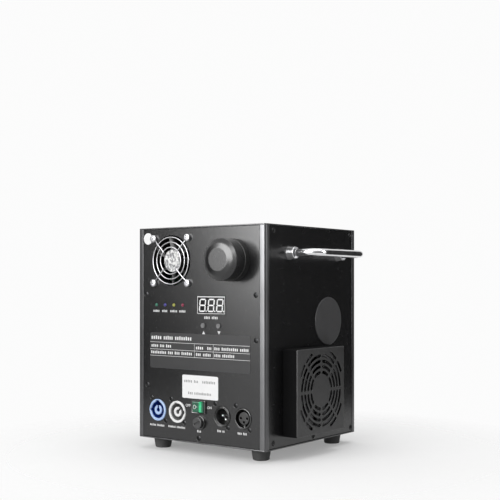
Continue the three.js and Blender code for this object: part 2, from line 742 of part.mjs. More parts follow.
function gearMotor() {
  const front = AUGER_TUBE_END;
  const body = rod(GEAR_MOTOR_RADIUS, front, front + GEAR_MOTOR_LENGTH, ROUND_SIDES);
  const bore = rod(AUGER_CORE_RADIUS + SEAT_GAP, front - CUT_OVERRUN, front + AUGER_SHAFT_REACH, SMALL_SIDES);
  return cut(body, bore);
}

function hopper() {
  const left = FILLER_U - HOPPER_HALF_WIDTH;
  const right = FILLER_U + HOPPER_HALF_WIDTH;
  const front = -PANEL_FACE_Y + SHEET_THICKNESS + HOPPER_FRONT_SETBACK;
  const back = front + HOPPER_DEPTH;
  const top = FILLER_V + HOPPER_ABOVE_FILLER;
  const bend = FILLER_V - HOPPER_BELOW_FILLER;
  const throat = AUGER_HEIGHT + HOPPER_THROAT_HEIGHT;
  const half = HOPPER_THROAT_HALF;
  const wall = HOPPER_WALL;
  const spoutEnd = AUGER_HEIGHT + AUGER_TUBE_BORE + SEAT_GAP;
  const outer = join(
    block([left, front, bend - WELD_OVERLAP], [right, back, top]),
    rectangleLoft(
      [FILLER_U - half, -half, FILLER_U + half, half, throat],
      [left, front, right, back, bend],
    ),
    rod(SPOUT_RADIUS, spoutEnd, throat + wall, SMALL_SIDES, FILLER_U),
  );
  const neckHole = rod(NECK_RADIUS + SEAT_GAP, 0, wall + 2 * CUT_OVERRUN, FINE_SIDES);
  neckHole.rotateX(-Math.PI / 2);
  return cut(
    outer,
    block([left + wall, front + wall, bend - WELD_OVERLAP], [right - wall, back - wall, top - wall]),
    rectangleLoft(
      [FILLER_U - half + wall, -half + wall, FILLER_U + half - wall, half - wall, throat + wall],
      [left + wall, front + wall, right - wall, back - wall, bend],
    ),
    rod(SPOUT_BORE, spoutEnd - CUT_OVERRUN, throat + wall + CUT_OVERRUN, SMALL_SIDES, FILLER_U),
    moved(neckHole, FILLER_U, front - CUT_OVERRUN, FILLER_V),
  );
}

// Filler neck, liner and cap, along the third axis of the control panel's group
function fillerNeck() {
  const inner = -(SHEET_THICKNESS + HOPPER_FRONT_SETBACK + HOPPER_WALL + CUT_OVERRUN);
  return moved(turned([
    [NECK_BORE, inner],
    [NECK_RADIUS, inner],
    [NECK_RADIUS, 0],
    [COLLAR_RADIUS, 0],
    [COLLAR_RADIUS, COLLAR_HEIGHT],
    [NECK_RADIUS, COLLAR_HEIGHT],
    [NECK_RADIUS, NECK_LENGTH],
    [NECK_BORE, NECK_LENGTH],
    [NECK_BORE, inner],
  ], FINE_SIDES), FILLER_U, FILLER_V);
}

function capLiner() {
  const from = NECK_LENGTH + SEAT_GAP;
  return rod(NECK_RADIUS, from, from + LINER_THICKNESS, FINE_SIDES, FILLER_U, FILLER_V);
}

function fillerCap() {
  const inside = NECK_LENGTH + SEAT_GAP + LINER_THICKNESS + SEAT_GAP;
  const bore = NECK_RADIUS + 2 * SEAT_GAP;
  const skirt = COLLAR_HEIGHT + SEAT_GAP;
  return moved(turned([
    [bore, skirt],
    [CAP_RADIUS, skirt],
    [CAP_RADIUS, CAP_RIM_HEIGHT - CAP_RIM_FILLET],
    [CAP_RADIUS - CAP_RIM_FILLET, CAP_RIM_HEIGHT],
    [CAP_FLAT_RADIUS, CAP_TOP_HEIGHT],
    [0, CAP_TOP_HEIGHT],
    [0, inside],
    [bore, inside],
    [bore, skirt],
  ], FINE_SIDES), FILLER_U, FILLER_V);
}

// Fans: the front is at zero and the body lies behind it
function fanFrame(fan) {
  const half = fan.size / 2;
  const screw = fan.screwSpacing / 2;
  const holes = [ringPoints(fan.bore, FINE_SIDES)];
  [[-1, -1], [1, -1], [-1, 1], [1, 1]].forEach(([u, v]) => {
    holes.push(ringPoints(fan.screwHole, TINY_SIDES, u * screw, v * screw));
  });
  const shroud = prism(roundedPoints(half, half, FAN_CORNER_RADIUS), -fan.depth, 0, holes);
  const statorFront = -FAN_STATOR_SETBACK;
  const statorBack = statorFront - FAN_STATOR_THICKNESS;
  const bearingEnd = -fan.depth + FAN_BACK_GAP + FAN_HUB_WALL + 2 * SEAT_GAP;
  const pieces = [
    shroud,
    rod(fan.hub, statorBack, statorFront, ROUND_SIDES),
    rod(FAN_BEARING_RADIUS, bearingEnd, statorBack + WELD_OVERLAP, SMALL_SIDES),
  ];
  for (let k = 0; k < FAN_STRUTS; k += 1) {
    const strut = block(
      [fan.hub - CUT_OVERRUN, -FAN_STRUT_WIDTH / 2, statorBack],
      [fan.bore + CUT_OVERRUN, FAN_STRUT_WIDTH / 2, statorFront],
    );
    strut.rotateZ((k / FAN_STRUTS) * 2 * Math.PI - Math.PI / 2);
    pieces.push(strut);
  }
  const bearing = rod(FAN_SHAFT_RADIUS + SEAT_GAP, bearingEnd - CUT_OVERRUN, statorBack, SMALL_SIDES);
  return cut(join(...pieces), bearing);
}

function fanRotor(fan) {
  const front = -FAN_STATOR_SETBACK - FAN_STATOR_THICKNESS - SEAT_GAP;
  const back = -fan.depth + FAN_BACK_GAP;
  const inside = back + FAN_HUB_WALL;
  const length = front - back;
  const chord = (length - FAN_BLADE_THICKNESS) / Math.cos(FAN_BLADE_ANGLE);
  const sweep = (chord * Math.sin(FAN_BLADE_ANGLE)) / 2;
  const tip = Math.sqrt((fan.bore - FAN_TIP_GAP) ** 2 - sweep ** 2);
  const cup = cut(
    rod(fan.hub, back, front, ROUND_SIDES),
    rod(fan.hub - FAN_HUB_WALL, inside, front + CUT_OVERRUN, ROUND_SIDES),
  );
  const pieces = [cup, rod(FAN_SHAFT_RADIUS, inside - WELD_OVERLAP, front - CUT_OVERRUN, SMALL_SIDES)];
  for (let k = 0; k < FAN_BLADES; k += 1) {
    const root = fan.hub - FAN_HUB_WALL / 2;
    const blade = new THREE.BoxGeometry(tip - root, FAN_BLADE_THICKNESS, chord);
    blade.rotateX(FAN_BLADE_ANGLE);
    blade.translate((tip + root) / 2, 0, (front + back) / 2);
    blade.rotateZ((k / FAN_BLADES) * 2 * Math.PI);
    pieces.push(blade);
  }
  return join(...pieces);
}

function fanGuard() {
  const wire = GUARD_WIRE_RADIUS;
  const armPlane = SEAT_GAP + wire;
  const ringPlane = armPlane + 2 * wire - WELD_OVERLAP;
  const corner = (PANEL_FAN_SCREW_SPACING / 2) * Math.SQRT2;
  const pieces = [GUARD_OUTER_RING, GUARD_MIDDLE_RING, GUARD_INNER_RING].map((radius) => {
    return moved(new THREE.TorusGeometry(radius, wire, WIRE_SIDES, FINE_SIDES), 0, 0, ringPlane);
  });
  for (let k = 0; k < 4; k += 1) {
    const angle = (k + 1 / 2) * (Math.PI / 2);
    const arm = rod(wire, GUARD_ARM_END, corner - GUARD_EYE_RADIUS, WIRE_SIDES);
    arm.rotateY(Math.PI / 2);
    arm.translate(0, 0, armPlane);
    arm.rotateZ(angle);
    const loop = new THREE.TorusGeometry(GUARD_EYE_RADIUS, wire, WIRE_SIDES, TINY_SIDES);
    const eye = moved(loop, corner, 0, armPlane);
    eye.rotateZ(angle);
    pieces.push(arm, eye);
  }
  return join(...pieces);
}

// One slot of the grille: a stretch of a ring between two spokes
function slotPoints(radius, from, to) {
  const half = GRILLE_SLOT_WIDTH / 2;
  const points = [];
  for (let k = 0; k <= 2 * SLOT_STEPS + 1; k += 1) {
    const outward = k <= SLOT_STEPS;
    const share = (outward ? k : 2 * SLOT_STEPS + 1 - k) / SLOT_STEPS;
    const angle = from + (to - from) * share;
    const reach = outward ? radius + half : radius - half;
    const pointU = SIDE_FAN_U + reach * Math.cos(angle);
    points.push(new THREE.Vector2(pointU, SIDE_FAN_V + reach * Math.sin(angle)));
  }
  return points;
}

function grilleSlots() {
  const slots = [];
  const eighth = Math.PI / 4;
  const limit = COVER_SIZE / 2 - GRILLE_EDGE_LAND;
  for (let ring = 0; ring <= GRILLE_FULL_RINGS; ring += 1) {
    const radius = GRILLE_FIRST_RADIUS + ring * GRILLE_PITCH;
    const spoke = GRILLE_SPOKE_WIDTH / 2 / radius;
    const reach = radius + GRILLE_SLOT_WIDTH / 2;
    const clear = reach > limit ? Math.acos(limit / reach) : 0;
    for (let k = 0; k < 8; k += 1) {
      const square = k % 2 === 0;
      const from = k * eighth + Math.max(spoke, square ? clear : 0);
      const to = (k + 1) * eighth - Math.max(spoke, square ? 0 : clear);
      slots.push(slotPoints(radius, from, to));
    }
  }
  return slots;
}

function sideFanCover() {
  const half = COVER_SIZE / 2;
  const inner = half - COVER_WALL;
  const front = COVER_DEPTH - COVER_WALL;
  const outerOutline = roundedPoints(half, half, COVER_CORNER_RADIUS, SIDE_FAN_U, SIDE_FAN_V);
  const innerOutline = rectanglePoints(
    SIDE_FAN_U - inner, SIDE_FAN_V - inner, SIDE_FAN_U + inner, SIDE_FAN_V + inner,
  );
  const walls = prism(outerOutline, 0, front, [innerOutline]);
  const plate = prism(outerOutline, front - SEAT_GAP, COVER_DEPTH, grilleSlots());
  return join(walls, plate);
}

// Reader window and board
function readerWindow() {
  const spigot = READER_RADIUS - READER_RIM_WIDTH;
  return moved(turned([
    [0, -READER_DEPTH],
    [spigot, -READER_DEPTH],
    [spigot, 0],
    [READER_RADIUS, 0],
    [READER_RADIUS, READER_RIM_THICKNESS],
    [0, READER_RIM_THICKNESS],
  ], FINE_SIDES), READER_U, READER_V);
}

function boardOnStandoffs(left, bottom, right, top, standoff) {
  const front = PANEL_BACK - standoff;
  const pieces = [block([left, bottom, front - BOARD_THICKNESS], [right, top, front])];
  const us = [left + STANDOFF_INSET, right - STANDOFF_INSET];
  const vs = [bottom + STANDOFF_INSET, top - STANDOFF_INSET];
  us.forEach((u) => vs.forEach((v) => {
    pieces.push(rod(STANDOFF_RADIUS, front - WELD_OVERLAP, PANEL_BACK, TINY_SIDES, u, v));
  }));
  return pieces;
}

function readerBoard() {
  const half = READER_BOARD_SIZE / 2;
  return join(...boardOnStandoffs(
    READER_U - half, READER_V - half, READER_U + half, READER_V + half, READER_BOARD_STANDOFF,
  ));
}

function controlBoard() {
  const top = HOUSING_HEIGHT - CONTROL_BOARD_BELOW_TOP;
  const half = TACT_SWITCH_SIZE / 2;
  const front = CONTROL_BOARD_FRONT;
  const pieces = boardOnStandoffs(
    CONTROL_BOARD_LEFT, top - CONTROL_BOARD_HEIGHT, CONTROL_BOARD_RIGHT, top, CONTROL_BOARD_STANDOFF,
  );
  [-1, 1].forEach((side) => {
    const u = BUTTON_U + (side * BUTTON_SPACING) / 2;
    pieces.push(block(
      [u - half, BUTTON_V - half, front - WELD_OVERLAP],
      [u + half, BUTTON_V + half, front + TACT_SWITCH_HEIGHT],
    ));
  });
  return join(...pieces);
}

function driverBoard() {
  const halfU = DRIVER_BOARD_WIDTH / 2;
  const halfV = DRIVER_BOARD_HEIGHT / 2;
  const back = PANEL_BACK - DRIVER_BOARD_STANDOFF - BOARD_THICKNESS;
  const pieces = boardOnStandoffs(
    DRIVER_BOARD_U - halfU, DRIVER_BOARD_V - halfV,
    DRIVER_BOARD_U + halfU, DRIVER_BOARD_V + halfV, DRIVER_BOARD_STANDOFF,
  );
  [-1, 0, 1].forEach((place) => {
    const u = DRIVER_BOARD_U + place * CAPACITOR_SPACING;
    const v = DRIVER_BOARD_V - HEAT_SINK_WIDTH;
    pieces.push(rod(CAPACITOR_RADIUS, back - CAPACITOR_HEIGHT, back + WELD_OVERLAP, SMALL_SIDES, u, v));
  });
  const sinkV = DRIVER_BOARD_V + HEAT_SINK_OFFSET;
  pieces.push(block(
    [DRIVER_BOARD_U - HEAT_SINK_LENGTH / 2, sinkV - HEAT_SINK_WIDTH / 2, back - HEAT_SINK_HEIGHT],
    [DRIVER_BOARD_U + HEAT_SINK_LENGTH / 2, sinkV + HEAT_SINK_WIDTH / 2, back + WELD_OVERLAP],
  ));
  return join(...pieces);
}

function powerSupply() {
  const half = SUPPLY_WIDTH / 2;
  const bottom = SHEET_THICKNESS;
  const top = bottom + SUPPLY_HEIGHT;
  const back = HOUSING_DEPTH / 2 - SUPPLY_BACK_GAP;
  const front = BLOWER_WIDTH / 2 + BLOWER_MOTOR_LENGTH + SUPPLY_MOTOR_GAP;
  return cut(
    block([-half, front, bottom], [half, back, top]),
    block(
      [half - SUPPLY_TERMINAL_WIDTH, front - CUT_OVERRUN, bottom + SUPPLY_TERMINAL_HEIGHT],
      [half + CUT_OVERRUN, back + CUT_OVERRUN, top + CUT_OVERRUN],
    ),
  );
}

// Carrying handle: a round bar bent into a U, its path in the plane of the two bosses
function handleBar() {
  const half = HANDLE_SPAN / 2;
  const start = BOSS_FLOOR + SEAT_GAP;
  const bend = HANDLE_BEND_RADIUS;
  const reach = HANDLE_STANDOFF;
  const bendStart = reach - bend;
  const at = (u, p) => new THREE.Vector3(HANDLE_U + u, HANDLE_V, p);
  const arcs = [-1, 1].map((side) => {
    const arc = new THREE.Curve();
    arc.getPoint = (t) => {
      const angle = (side < 0 ? t : 1 - t) * (Math.PI / 2);
      return at(side * (half - bend + bend * Math.cos(angle)), bendStart + bend * Math.sin(angle));
    };
    return arc;
  });
  const path = new THREE.CurvePath();
  path.add(new THREE.LineCurve3(at(-half, start), at(-half, bendStart)));
  path.add(arcs[0]);
  path.add(new THREE.LineCurve3(at(-half + bend, reach), at(half - bend, reach)));
  path.add(arcs[1]);
  path.add(new THREE.LineCurve3(at(half, bendStart), at(half, start)));
  const section = new THREE.Shape(ringPoints(HANDLE_BAR_RADIUS, SMALL_SIDES));
  return new THREE.ExtrudeGeometry(section, { steps: HANDLE_STEPS, bevelEnabled: false, extrudePath: path });
}

function handleBoss(side) {
  const u = HANDLE_U + (side * HANDLE_SPAN) / 2;
  const over = BOSS_HEIGHT + CUT_OVERRUN;
  return cut(
    rod(BOSS_RADIUS, 0, BOSS_HEIGHT, ROUND_SIDES, u, HANDLE_V),
    rod(HANDLE_BAR_RADIUS + SEAT_GAP, BOSS_FLOOR, over, ROUND_SIDES, u, HANDLE_V),
    rod(BOSS_RECESS_RADIUS, BOSS_HEIGHT - BOSS_RECESS_DEPTH, over, ROUND_SIDES, u, HANDLE_V),
  );
}

// Lamps, display and buttons
function lamp(index) {
  const back = CONTROL_BOARD_FRONT + SEAT_GAP;
  const flangeTop = PANEL_BACK - SEAT_GAP;
  const profile = [
    [0, back],
    [LED_RADIUS, back],
    [LED_RADIUS, flangeTop - LED_FLANGE_THICKNESS],
    [LED_FLANGE_RADIUS, flangeTop - LED_FLANGE_THICKNESS],
    [LED_FLANGE_RADIUS, flangeTop],
    [LED_RADIUS, flangeTop],
  ];
  for (let k = 0; k <= CORNER_STEPS; k += 1) {
    const angle = (k / CORNER_STEPS) * (Math.PI / 2);
    profile.push([k < CORNER_STEPS ? LED_RADIUS * Math.cos(angle) : 0, LED_DOME_HEIGHT * Math.sin(angle)]);
  }
  return moved(turned(profile, TINY_SIDES), LED_FIRST_U + index * LED_PITCH, LED_V);
}

function display() {
  const halfU = DISPLAY_WIDTH / 2;
  const halfV = DISPLAY_HEIGHT / 2;
  return block(
    [DISPLAY_U - halfU, DISPLAY_V - halfV, CONTROL_BOARD_FRONT + SEAT_GAP],
    [DISPLAY_U + halfU, DISPLAY_V + halfV, DISPLAY_PROUD],
  );
}

function pushButton(side) {
  const flangeTop = PANEL_BACK - SEAT_GAP;
  const back = CONTROL_BOARD_FRONT + TACT_SWITCH_HEIGHT + BUTTON_TRAVEL + BUTTON_TRAVEL_SPARE;
  return moved(turned([
    [0, back],
    [BUTTON_RADIUS, back],
    [BUTTON_RADIUS, flangeTop - BUTTON_FLANGE_THICKNESS],
    [BUTTON_FLANGE_RADIUS, flangeTop - BUTTON_FLANGE_THICKNESS],
    [BUTTON_FLANGE_RADIUS, flangeTop],
    [BUTTON_RADIUS, flangeTop],
    [BUTTON_RADIUS, BUTTON_PROUD - BUTTON_EDGE],
    [BUTTON_RADIUS - BUTTON_EDGE, BUTTON_PROUD],
    [0, BUTTON_PROUD],
  ], SMALL_SIDES), BUTTON_U + (side * BUTTON_SPACING) / 2, BUTTON_V);
}

// Sockets: a flange behind the panel and a barrel through it
function socketFlange(u, barrelRadius) {
  const outline = roundedPoints(
    SOCKET_FLANGE_WIDTH / 2, SOCKET_FLANGE_HEIGHT / 2, SOCKET_FLANGE_CORNER, u, SOCKET_V,
  );
  const hole = ringPoints(barrelRadius - WELD_OVERLAP, ROUND_SIDES, u, SOCKET_V);
  return prism(outline, PANEL_BACK - SOCKET_FLANGE_THICKNESS, PANEL_BACK, [hole]);
}

function socketBarrel(u, radius, bore, depth, boreDepth) {
  const chamfer = SOCKET_LIP_CHAMFER;
  return moved(turned([
    [0, -depth],
    [radius, -depth],
    [radius, SOCKET_PROUD - chamfer],
    [radius - chamfer, SOCKET_PROUD],
    [bore, SOCKET_PROUD],
    [bore, -boreDepth],
    [0, -boreDepth],
  ], ROUND_SIDES), u, SOCKET_V);
}

function powerSocket(u, slotAngle) {
  const coreTop = -POWER_CORE_SETBACK;
  const slot = block(
    [0, -POWER_CORE_SLOT / 2, coreTop - POWER_CORE_BORE_DEPTH],
    [POWER_CORE_RADIUS + CUT_OVERRUN, POWER_CORE_SLOT / 2, coreTop + CUT_OVERRUN],
  );
  slot.rotateZ(slotAngle);
  const core = cut(
    rod(POWER_CORE_RADIUS, -POWER_GROOVE_DEPTH - WELD_OVERLAP, coreTop, ROUND_SIDES, u, SOCKET_V),
    rod(POWER_CORE_BORE, coreTop - POWER_CORE_BORE_DEPTH, coreTop + CUT_OVERRUN, SMALL_SIDES, u, SOCKET_V),
    moved(slot, u, SOCKET_V),
  );
  return join(
    socketBarrel(u, POWER_BARREL_RADIUS, POWER_GROOVE_RADIUS, POWER_BODY_DEPTH, POWER_GROOVE_DEPTH),
    socketFlange(u, POWER_BARREL_RADIUS),
    core,
  );
}

function pinPlaces(u) {
  return [180, 0, 270].map((degrees) => {
    const angle = (degrees * Math.PI) / 180;
    return [u + DATA_PIN_CIRCLE * Math.cos(angle), SOCKET_V + DATA_PIN_CIRCLE * Math.sin(angle)];
  });
}

function dataInSocket() {
  const pins = pinPlaces(DATA_IN_U).map(([u, v]) => {
    return rod(DATA_PIN_RADIUS, -DATA_BORE_DEPTH - WELD_OVERLAP, -DATA_PIN_TIP_SETBACK, TINY_SIDES, u, v);
  });
  return join(
    socketBarrel(DATA_IN_U, DATA_BARREL_RADIUS, DATA_BORE_RADIUS, DATA_BODY_DEPTH, DATA_BORE_DEPTH),
    socketFlange(DATA_IN_U, DATA_BARREL_RADIUS),
    ...pins,
  );
}

function dataOutSocket() {
  const face = -DATA_INSERT_SETBACK;
  const holes = pinPlaces(DATA_OUT_U).map(([u, v]) => {
    return rod(DATA_PIN_HOLE_RADIUS, face - DATA_PIN_HOLE_DEPTH, face + CUT_OVERRUN, TINY_SIDES, u, v);
  });
  const insert = cut(
    rod(DATA_INSERT_RADIUS, -DATA_BORE_DEPTH - WELD_OVERLAP, face, ROUND_SIDES, DATA_OUT_U, SOCKET_V),
    ...holes,
  );
  return join(
    socketBarrel(DATA_OUT_U, DATA_BARREL_RADIUS, DATA_GROOVE_RADIUS, DATA_BODY_DEPTH, DATA_BORE_DEPTH),
    socketFlange(DATA_OUT_U, DATA_BARREL_RADIUS),
    insert,
  );
}

// Rocker switch
function switchBody() {
  const bezel = prism(
    roundedPoints(SWITCH_BEZEL_WIDTH / 2, SWITCH_BEZEL_HEIGHT / 2, SWITCH_BEZEL_CORNER, SWITCH_U, SWITCH_V),
    0,
    SWITCH_BEZEL_PROUD,
  );
  const halfU = SWITCH_BODY_WIDTH / 2;
  const halfV = SWITCH_BODY_HEIGHT / 2;
  const body = block(
    [SWITCH_U - halfU, SWITCH_V - halfV, -SWITCH_BODY_DEPTH],
    [SWITCH_U + halfU, SWITCH_V + halfV, WELD_OVERLAP],
  );
  const well = block(
    [SWITCH_U - SWITCH_WELL_WIDTH / 2, SWITCH_V - SWITCH_WELL_HEIGHT / 2, -SWITCH_WELL_DEPTH],
    [SWITCH_U + SWITCH_WELL_WIDTH / 2, SWITCH_V + SWITCH_WELL_HEIGHT / 2, SWITCH_BEZEL_PROUD + CUT_OVERRUN],
  );
  return cut(join(bezel, body), well);
}

// The rocker's outline lies in the plane across its pivot, and is drawn level before it is tilted
function switchRocker() {
  const end = ROCKER_LENGTH / 2;
  const rise = end * Math.tan(ROCKER_TILT);
  const foot = ROCKER_FOOT_WIDTH / 2;
  const pivot = ROCKER_PIVOT_DEPTH;
  const crown = ROCKER_CENTRE_PROUD + pivot;
  const outline = [
    [-foot, -ROCKER_FOOT_DEPTH],
    [foot, -ROCKER_FOOT_DEPTH],
    [end, 0],
    [end, crown + rise],
    [0, crown],
    [-end, crown + rise],
    [-end, 0],
  ].map(([u, p]) => new THREE.Vector2(u, p));
  const half = SWITCH_WELL_HEIGHT / 2 - SEAT_GAP;
  const geometry = prism(outline, -half, half);
  geometry.rotateZ(-ROCKER_TILT);
  geometry.rotateX(Math.PI / 2);
  return moved(geometry, SWITCH_U, SWITCH_V, -pivot);
}

// Fuse holder, its cap and the glass fuse that the cap carries
function fuseHolder() {
  return moved(turned([
    [0, -FUSE_BODY_DEPTH],
    [FUSE_BODY_RADIUS, -FUSE_BODY_DEPTH],
    [FUSE_BODY_RADIUS, 0],
    [FUSE_FLANGE_RADIUS, 0],
    [FUSE_FLANGE_RADIUS, FUSE_FLANGE_THICKNESS],
    [FUSE_BORE_RADIUS, FUSE_FLANGE_THICKNESS],
    [FUSE_BORE_RADIUS, SHEET_THICKNESS - FUSE_BODY_DEPTH],
    [0, SHEET_THICKNESS - FUSE_BODY_DEPTH],
  ], ROUND_SIDES), FUSE_U, FUSE_V);
}

function fuseSocketFloor() {
  const capBottom = FUSE_FLANGE_THICKNESS + SEAT_GAP;
  return capBottom - FUSE_CAP_PLUG_LENGTH + FUSE_CAP_SOCKET_DEPTH;
}

function fuseCap() {
  const bottom = FUSE_FLANGE_THICKNESS + SEAT_GAP;
  const top = bottom + FUSE_CAP_HEIGHT;
  const plug = FUSE_BORE_RADIUS - SEAT_GAP;
  const socket = FUSE_RADIUS + SEAT_GAP;
  const body = turned([
    [0, fuseSocketFloor()],
    [socket, fuseSocketFloor()],
    [socket, bottom - FUSE_CAP_PLUG_LENGTH],
    [plug, bottom - FUSE_CAP_PLUG_LENGTH],
    [plug, bottom],
    [FUSE_CAP_RADIUS, bottom],
    [FUSE_CAP_RADIUS, top - FUSE_CAP_EDGE],
    [FUSE_CAP_RADIUS - FUSE_CAP_EDGE, top],
    [0, top],
  ], ROUND_SIDES);
  const slot = block(
    [-FUSE_CAP_SLOT_LENGTH / 2, -FUSE_CAP_SLOT_WIDTH / 2, top - FUSE_CAP_SLOT_DEPTH],
    [FUSE_CAP_SLOT_LENGTH / 2, FUSE_CAP_SLOT_WIDTH / 2, top + CUT_OVERRUN],
  );
  slot.rotateZ(FUSE_CAP_SLOT_ANGLE);
  return moved(cut(body, slot), FUSE_U, FUSE_V);
}

function glassFuse() {
  const top = fuseSocketFloor() - SEAT_GAP;
  return rod(FUSE_RADIUS, top - FUSE_LENGTH, top, SMALL_SIDES, FUSE_U, FUSE_V);
}

// Holes in the panels, each from the piece that passes through
function controlPanelHoles() {
  const gap = SEAT_GAP;
  const displayU = DISPLAY_WIDTH / 2 + gap;
  const displayV = DISPLAY_HEIGHT / 2 + gap;
  const switchU = SWITCH_BODY_WIDTH / 2 + gap;
  const switchV = SWITCH_BODY_HEIGHT / 2 + gap;
  const holes = [
    ringPoints(PANEL_FAN_BORE - gap, FINE_SIDES, PANEL_FAN_U, PANEL_FAN_V),
    ringPoints(NECK_RADIUS + gap, FINE_SIDES, FILLER_U, FILLER_V),
    rectanglePoints(DISPLAY_U - displayU, DISPLAY_V - displayV, DISPLAY_U + displayU, DISPLAY_V + displayV),
    rectanglePoints(SWITCH_U - switchU, SWITCH_V - switchV, SWITCH_U + switchU, SWITCH_V + switchV),
    ringPoints(FUSE_BODY_RADIUS + gap, ROUND_SIDES, FUSE_U, FUSE_V),
    ringPoints(POWER_BARREL_RADIUS + gap, ROUND_SIDES, POWER_IN_U, SOCKET_V),
    ringPoints(POWER_BARREL_RADIUS + gap, ROUND_SIDES, POWER_OUT_U, SOCKET_V),
    ringPoints(DATA_BARREL_RADIUS + gap, ROUND_SIDES, DATA_IN_U, SOCKET_V),
    ringPoints(DATA_BARREL_RADIUS + gap, ROUND_SIDES, DATA_OUT_U, SOCKET_V),
  ];
  for (let index = 0; index < 4; index += 1) {
    holes.push(ringPoints(LED_RADIUS + gap, TINY_SIDES, LED_FIRST_U + index * LED_PITCH, LED_V));
  }
  [-1, 1].forEach((side) => {
    const buttonU = BUTTON_U + (side * BUTTON_SPACING) / 2;
    holes.push(ringPoints(BUTTON_RADIUS + gap, SMALL_SIDES, buttonU, BUTTON_V));
  });
  return holes;
}

function handlePanelHoles() {
  return [
    ringPoints(SIDE_FAN_BORE - SEAT_GAP, FINE_SIDES, SIDE_FAN_U, SIDE_FAN_V),
    ringPoints(READER_RADIUS - READER_RIM_WIDTH + SEAT_GAP, FINE_SIDES, READER_U, READER_V),
  ];
}

// Assembly
const machine = new THREE.Group();
const controlFace = facing(new THREE.Vector3(0, -1, 0), new THREE.Vector3(0, -PANEL_FACE_Y, 0));
const handleFace = facing(new THREE.Vector3(1, 0, 0), new THREE.Vector3(PANEL_FACE_X, 0, 0));
const plainFace = facing(new THREE.Vector3(-1, 0, 0), new THREE.Vector3(-PANEL_FACE_X, 0, 0));
const farFace = facing(new THREE.Vector3(0, 1, 0), new THREE.Vector3(0, PANEL_FACE_Y, 0));
const augerLine = facing(new THREE.Vector3(1, 0, 0), new THREE.Vector3(0, 0, AUGER_HEIGHT));
const blowerAxis = new THREE.Vector3(BLOWER_AXIS_X, 0, BLOWER_AXIS_HEIGHT);
const blowerLine = facing(new THREE.Vector3(0, -1, 0), blowerAxis);
machine.add(controlFace, handleFace, plainFace, farFace, augerLine, blowerLine);

// Housing
addPiece(machine, "base_plate", basePlate(), finishes.blackPaint);
addPiece(machine, "top_plate", topPlate(), finishes.blackPaint);
[["control", -1], ["far", 1]].forEach(([row, sideY]) => {
  [["left", -1], ["right", 1]].forEach(([column, sideX]) => {
    addPiece(machine, `post_${row}_${column}`, cornerPost(sideX, sideY), finishes.blackPaint);
    const standing = addPiece(machine, `foot_${row}_${column}`, foot(), finishes.rubber);
    standing.position.set(
      sideX * (HOUSING_WIDTH / 2 - FOOT_INSET),
      sideY * (HOUSING_DEPTH / 2 - FOOT_INSET),
      0,
    );
  });
});
addPiece(controlFace, "control_panel", panel(PANEL_EDGE_X, controlPanelHoles()), finishes.blackPaint);
addPiece(handleFace, "handle_panel", panel(PANEL_EDGE_Y, handlePanelHoles()), finishes.blackPaint);
addPiece(plainFace, "plain_panel", panel(PANEL_EDGE_Y), finishes.blackPaint);
addPiece(farFace, "far_panel", panel(PANEL_EDGE_X), finishes.blackPaint);

// Spark path
addPiece(machine, "outlet_ring", outletRing(), finishes.steel);
addPiece(machine, "spark_tube", sparkTube(), finishes.steel);
addPiece(machine, "spark_chamber", sparkChamber(), finishes.steel);
addPiece(machine, "heater_band", heaterBand(), finishes.ceramic);
addPiece(blowerLine, "blower_housing", blowerHousing(), finishes.blackPlastic);
addPiece(blowerLine, "blower_impeller", blowerImpeller(), finishes.blackPlastic);
addPiece(blowerLine, "blower_motor", blowerMotor(), finishes.steel);

// Granule feed
addPiece(augerLine, "auger_tube", augerTube(), finishes.steel);
addPiece(augerLine, "feed_auger", feedAuger(), finishes.steel);
addPiece(augerLine, "gear_motor", gearMotor(), finishes.steel);
addPiece(machine, "hopper", hopper(), finishes.steel);
addPiece(controlFace, "filler_neck", fillerNeck(), finishes.blackPlastic);
addPiece(controlFace, "cap_liner", capLiner(), finishes.rubber);
addPiece(controlFace, "filler_cap", fillerCap(), finishes.blackPlastic);

// Fans
const panelFan = {
  size: PANEL_FAN_SIZE,
  depth: PANEL_FAN_DEPTH,
  bore: PANEL_FAN_BORE,
  hub: PANEL_FAN_HUB,
  screwSpacing: PANEL_FAN_SCREW_SPACING,
  screwHole: PANEL_FAN_SCREW_HOLE,
};
const sideFan = {
  size: SIDE_FAN_SIZE,
  depth: SIDE_FAN_DEPTH,
  bore: SIDE_FAN_BORE,
  hub: SIDE_FAN_HUB,
  screwSpacing: SIDE_FAN_SCREW_SPACING,
  screwHole: SIDE_FAN_SCREW_HOLE,
};
const panelFanAt = [PANEL_FAN_U, PANEL_FAN_V, PANEL_BACK];
const sideFanAt = [SIDE_FAN_U, SIDE_FAN_V, SIDE_FAN_DEPTH];
addPiece(controlFace, "panel_fan_frame", moved(fanFrame(panelFan), ...panelFanAt), finishes.blackPlastic);
addPiece(controlFace, "panel_fan_rotor", moved(fanRotor(panelFan), ...panelFanAt), finishes.blackPlastic);
addPiece(controlFace, "fan_guard", moved(fanGuard(), PANEL_FAN_U, PANEL_FAN_V), finishes.steel);
addPiece(handleFace, "side_fan_frame", moved(fanFrame(sideFan), ...sideFanAt), finishes.blackPlastic);
addPiece(handleFace, "side_fan_rotor", moved(fanRotor(sideFan), ...sideFanAt), finishes.blackPlastic);
addPiece(handleFace, "side_fan_cover", sideFanCover(), finishes.blackPaint);

// Handle side
addPiece(handleFace, "reader_window", readerWindow(), finishes.windowPlastic);
addPiece(handleFace, "reader_board", readerBoard(), finishes.board);
addPiece(handleFace, "handle_bar", handleBar(), finishes.chrome);
addPiece(handleFace, "handle_boss_near", handleBoss(-1), finishes.chrome);
addPiece(handleFace, "handle_boss_far", handleBoss(1), finishes.chrome);

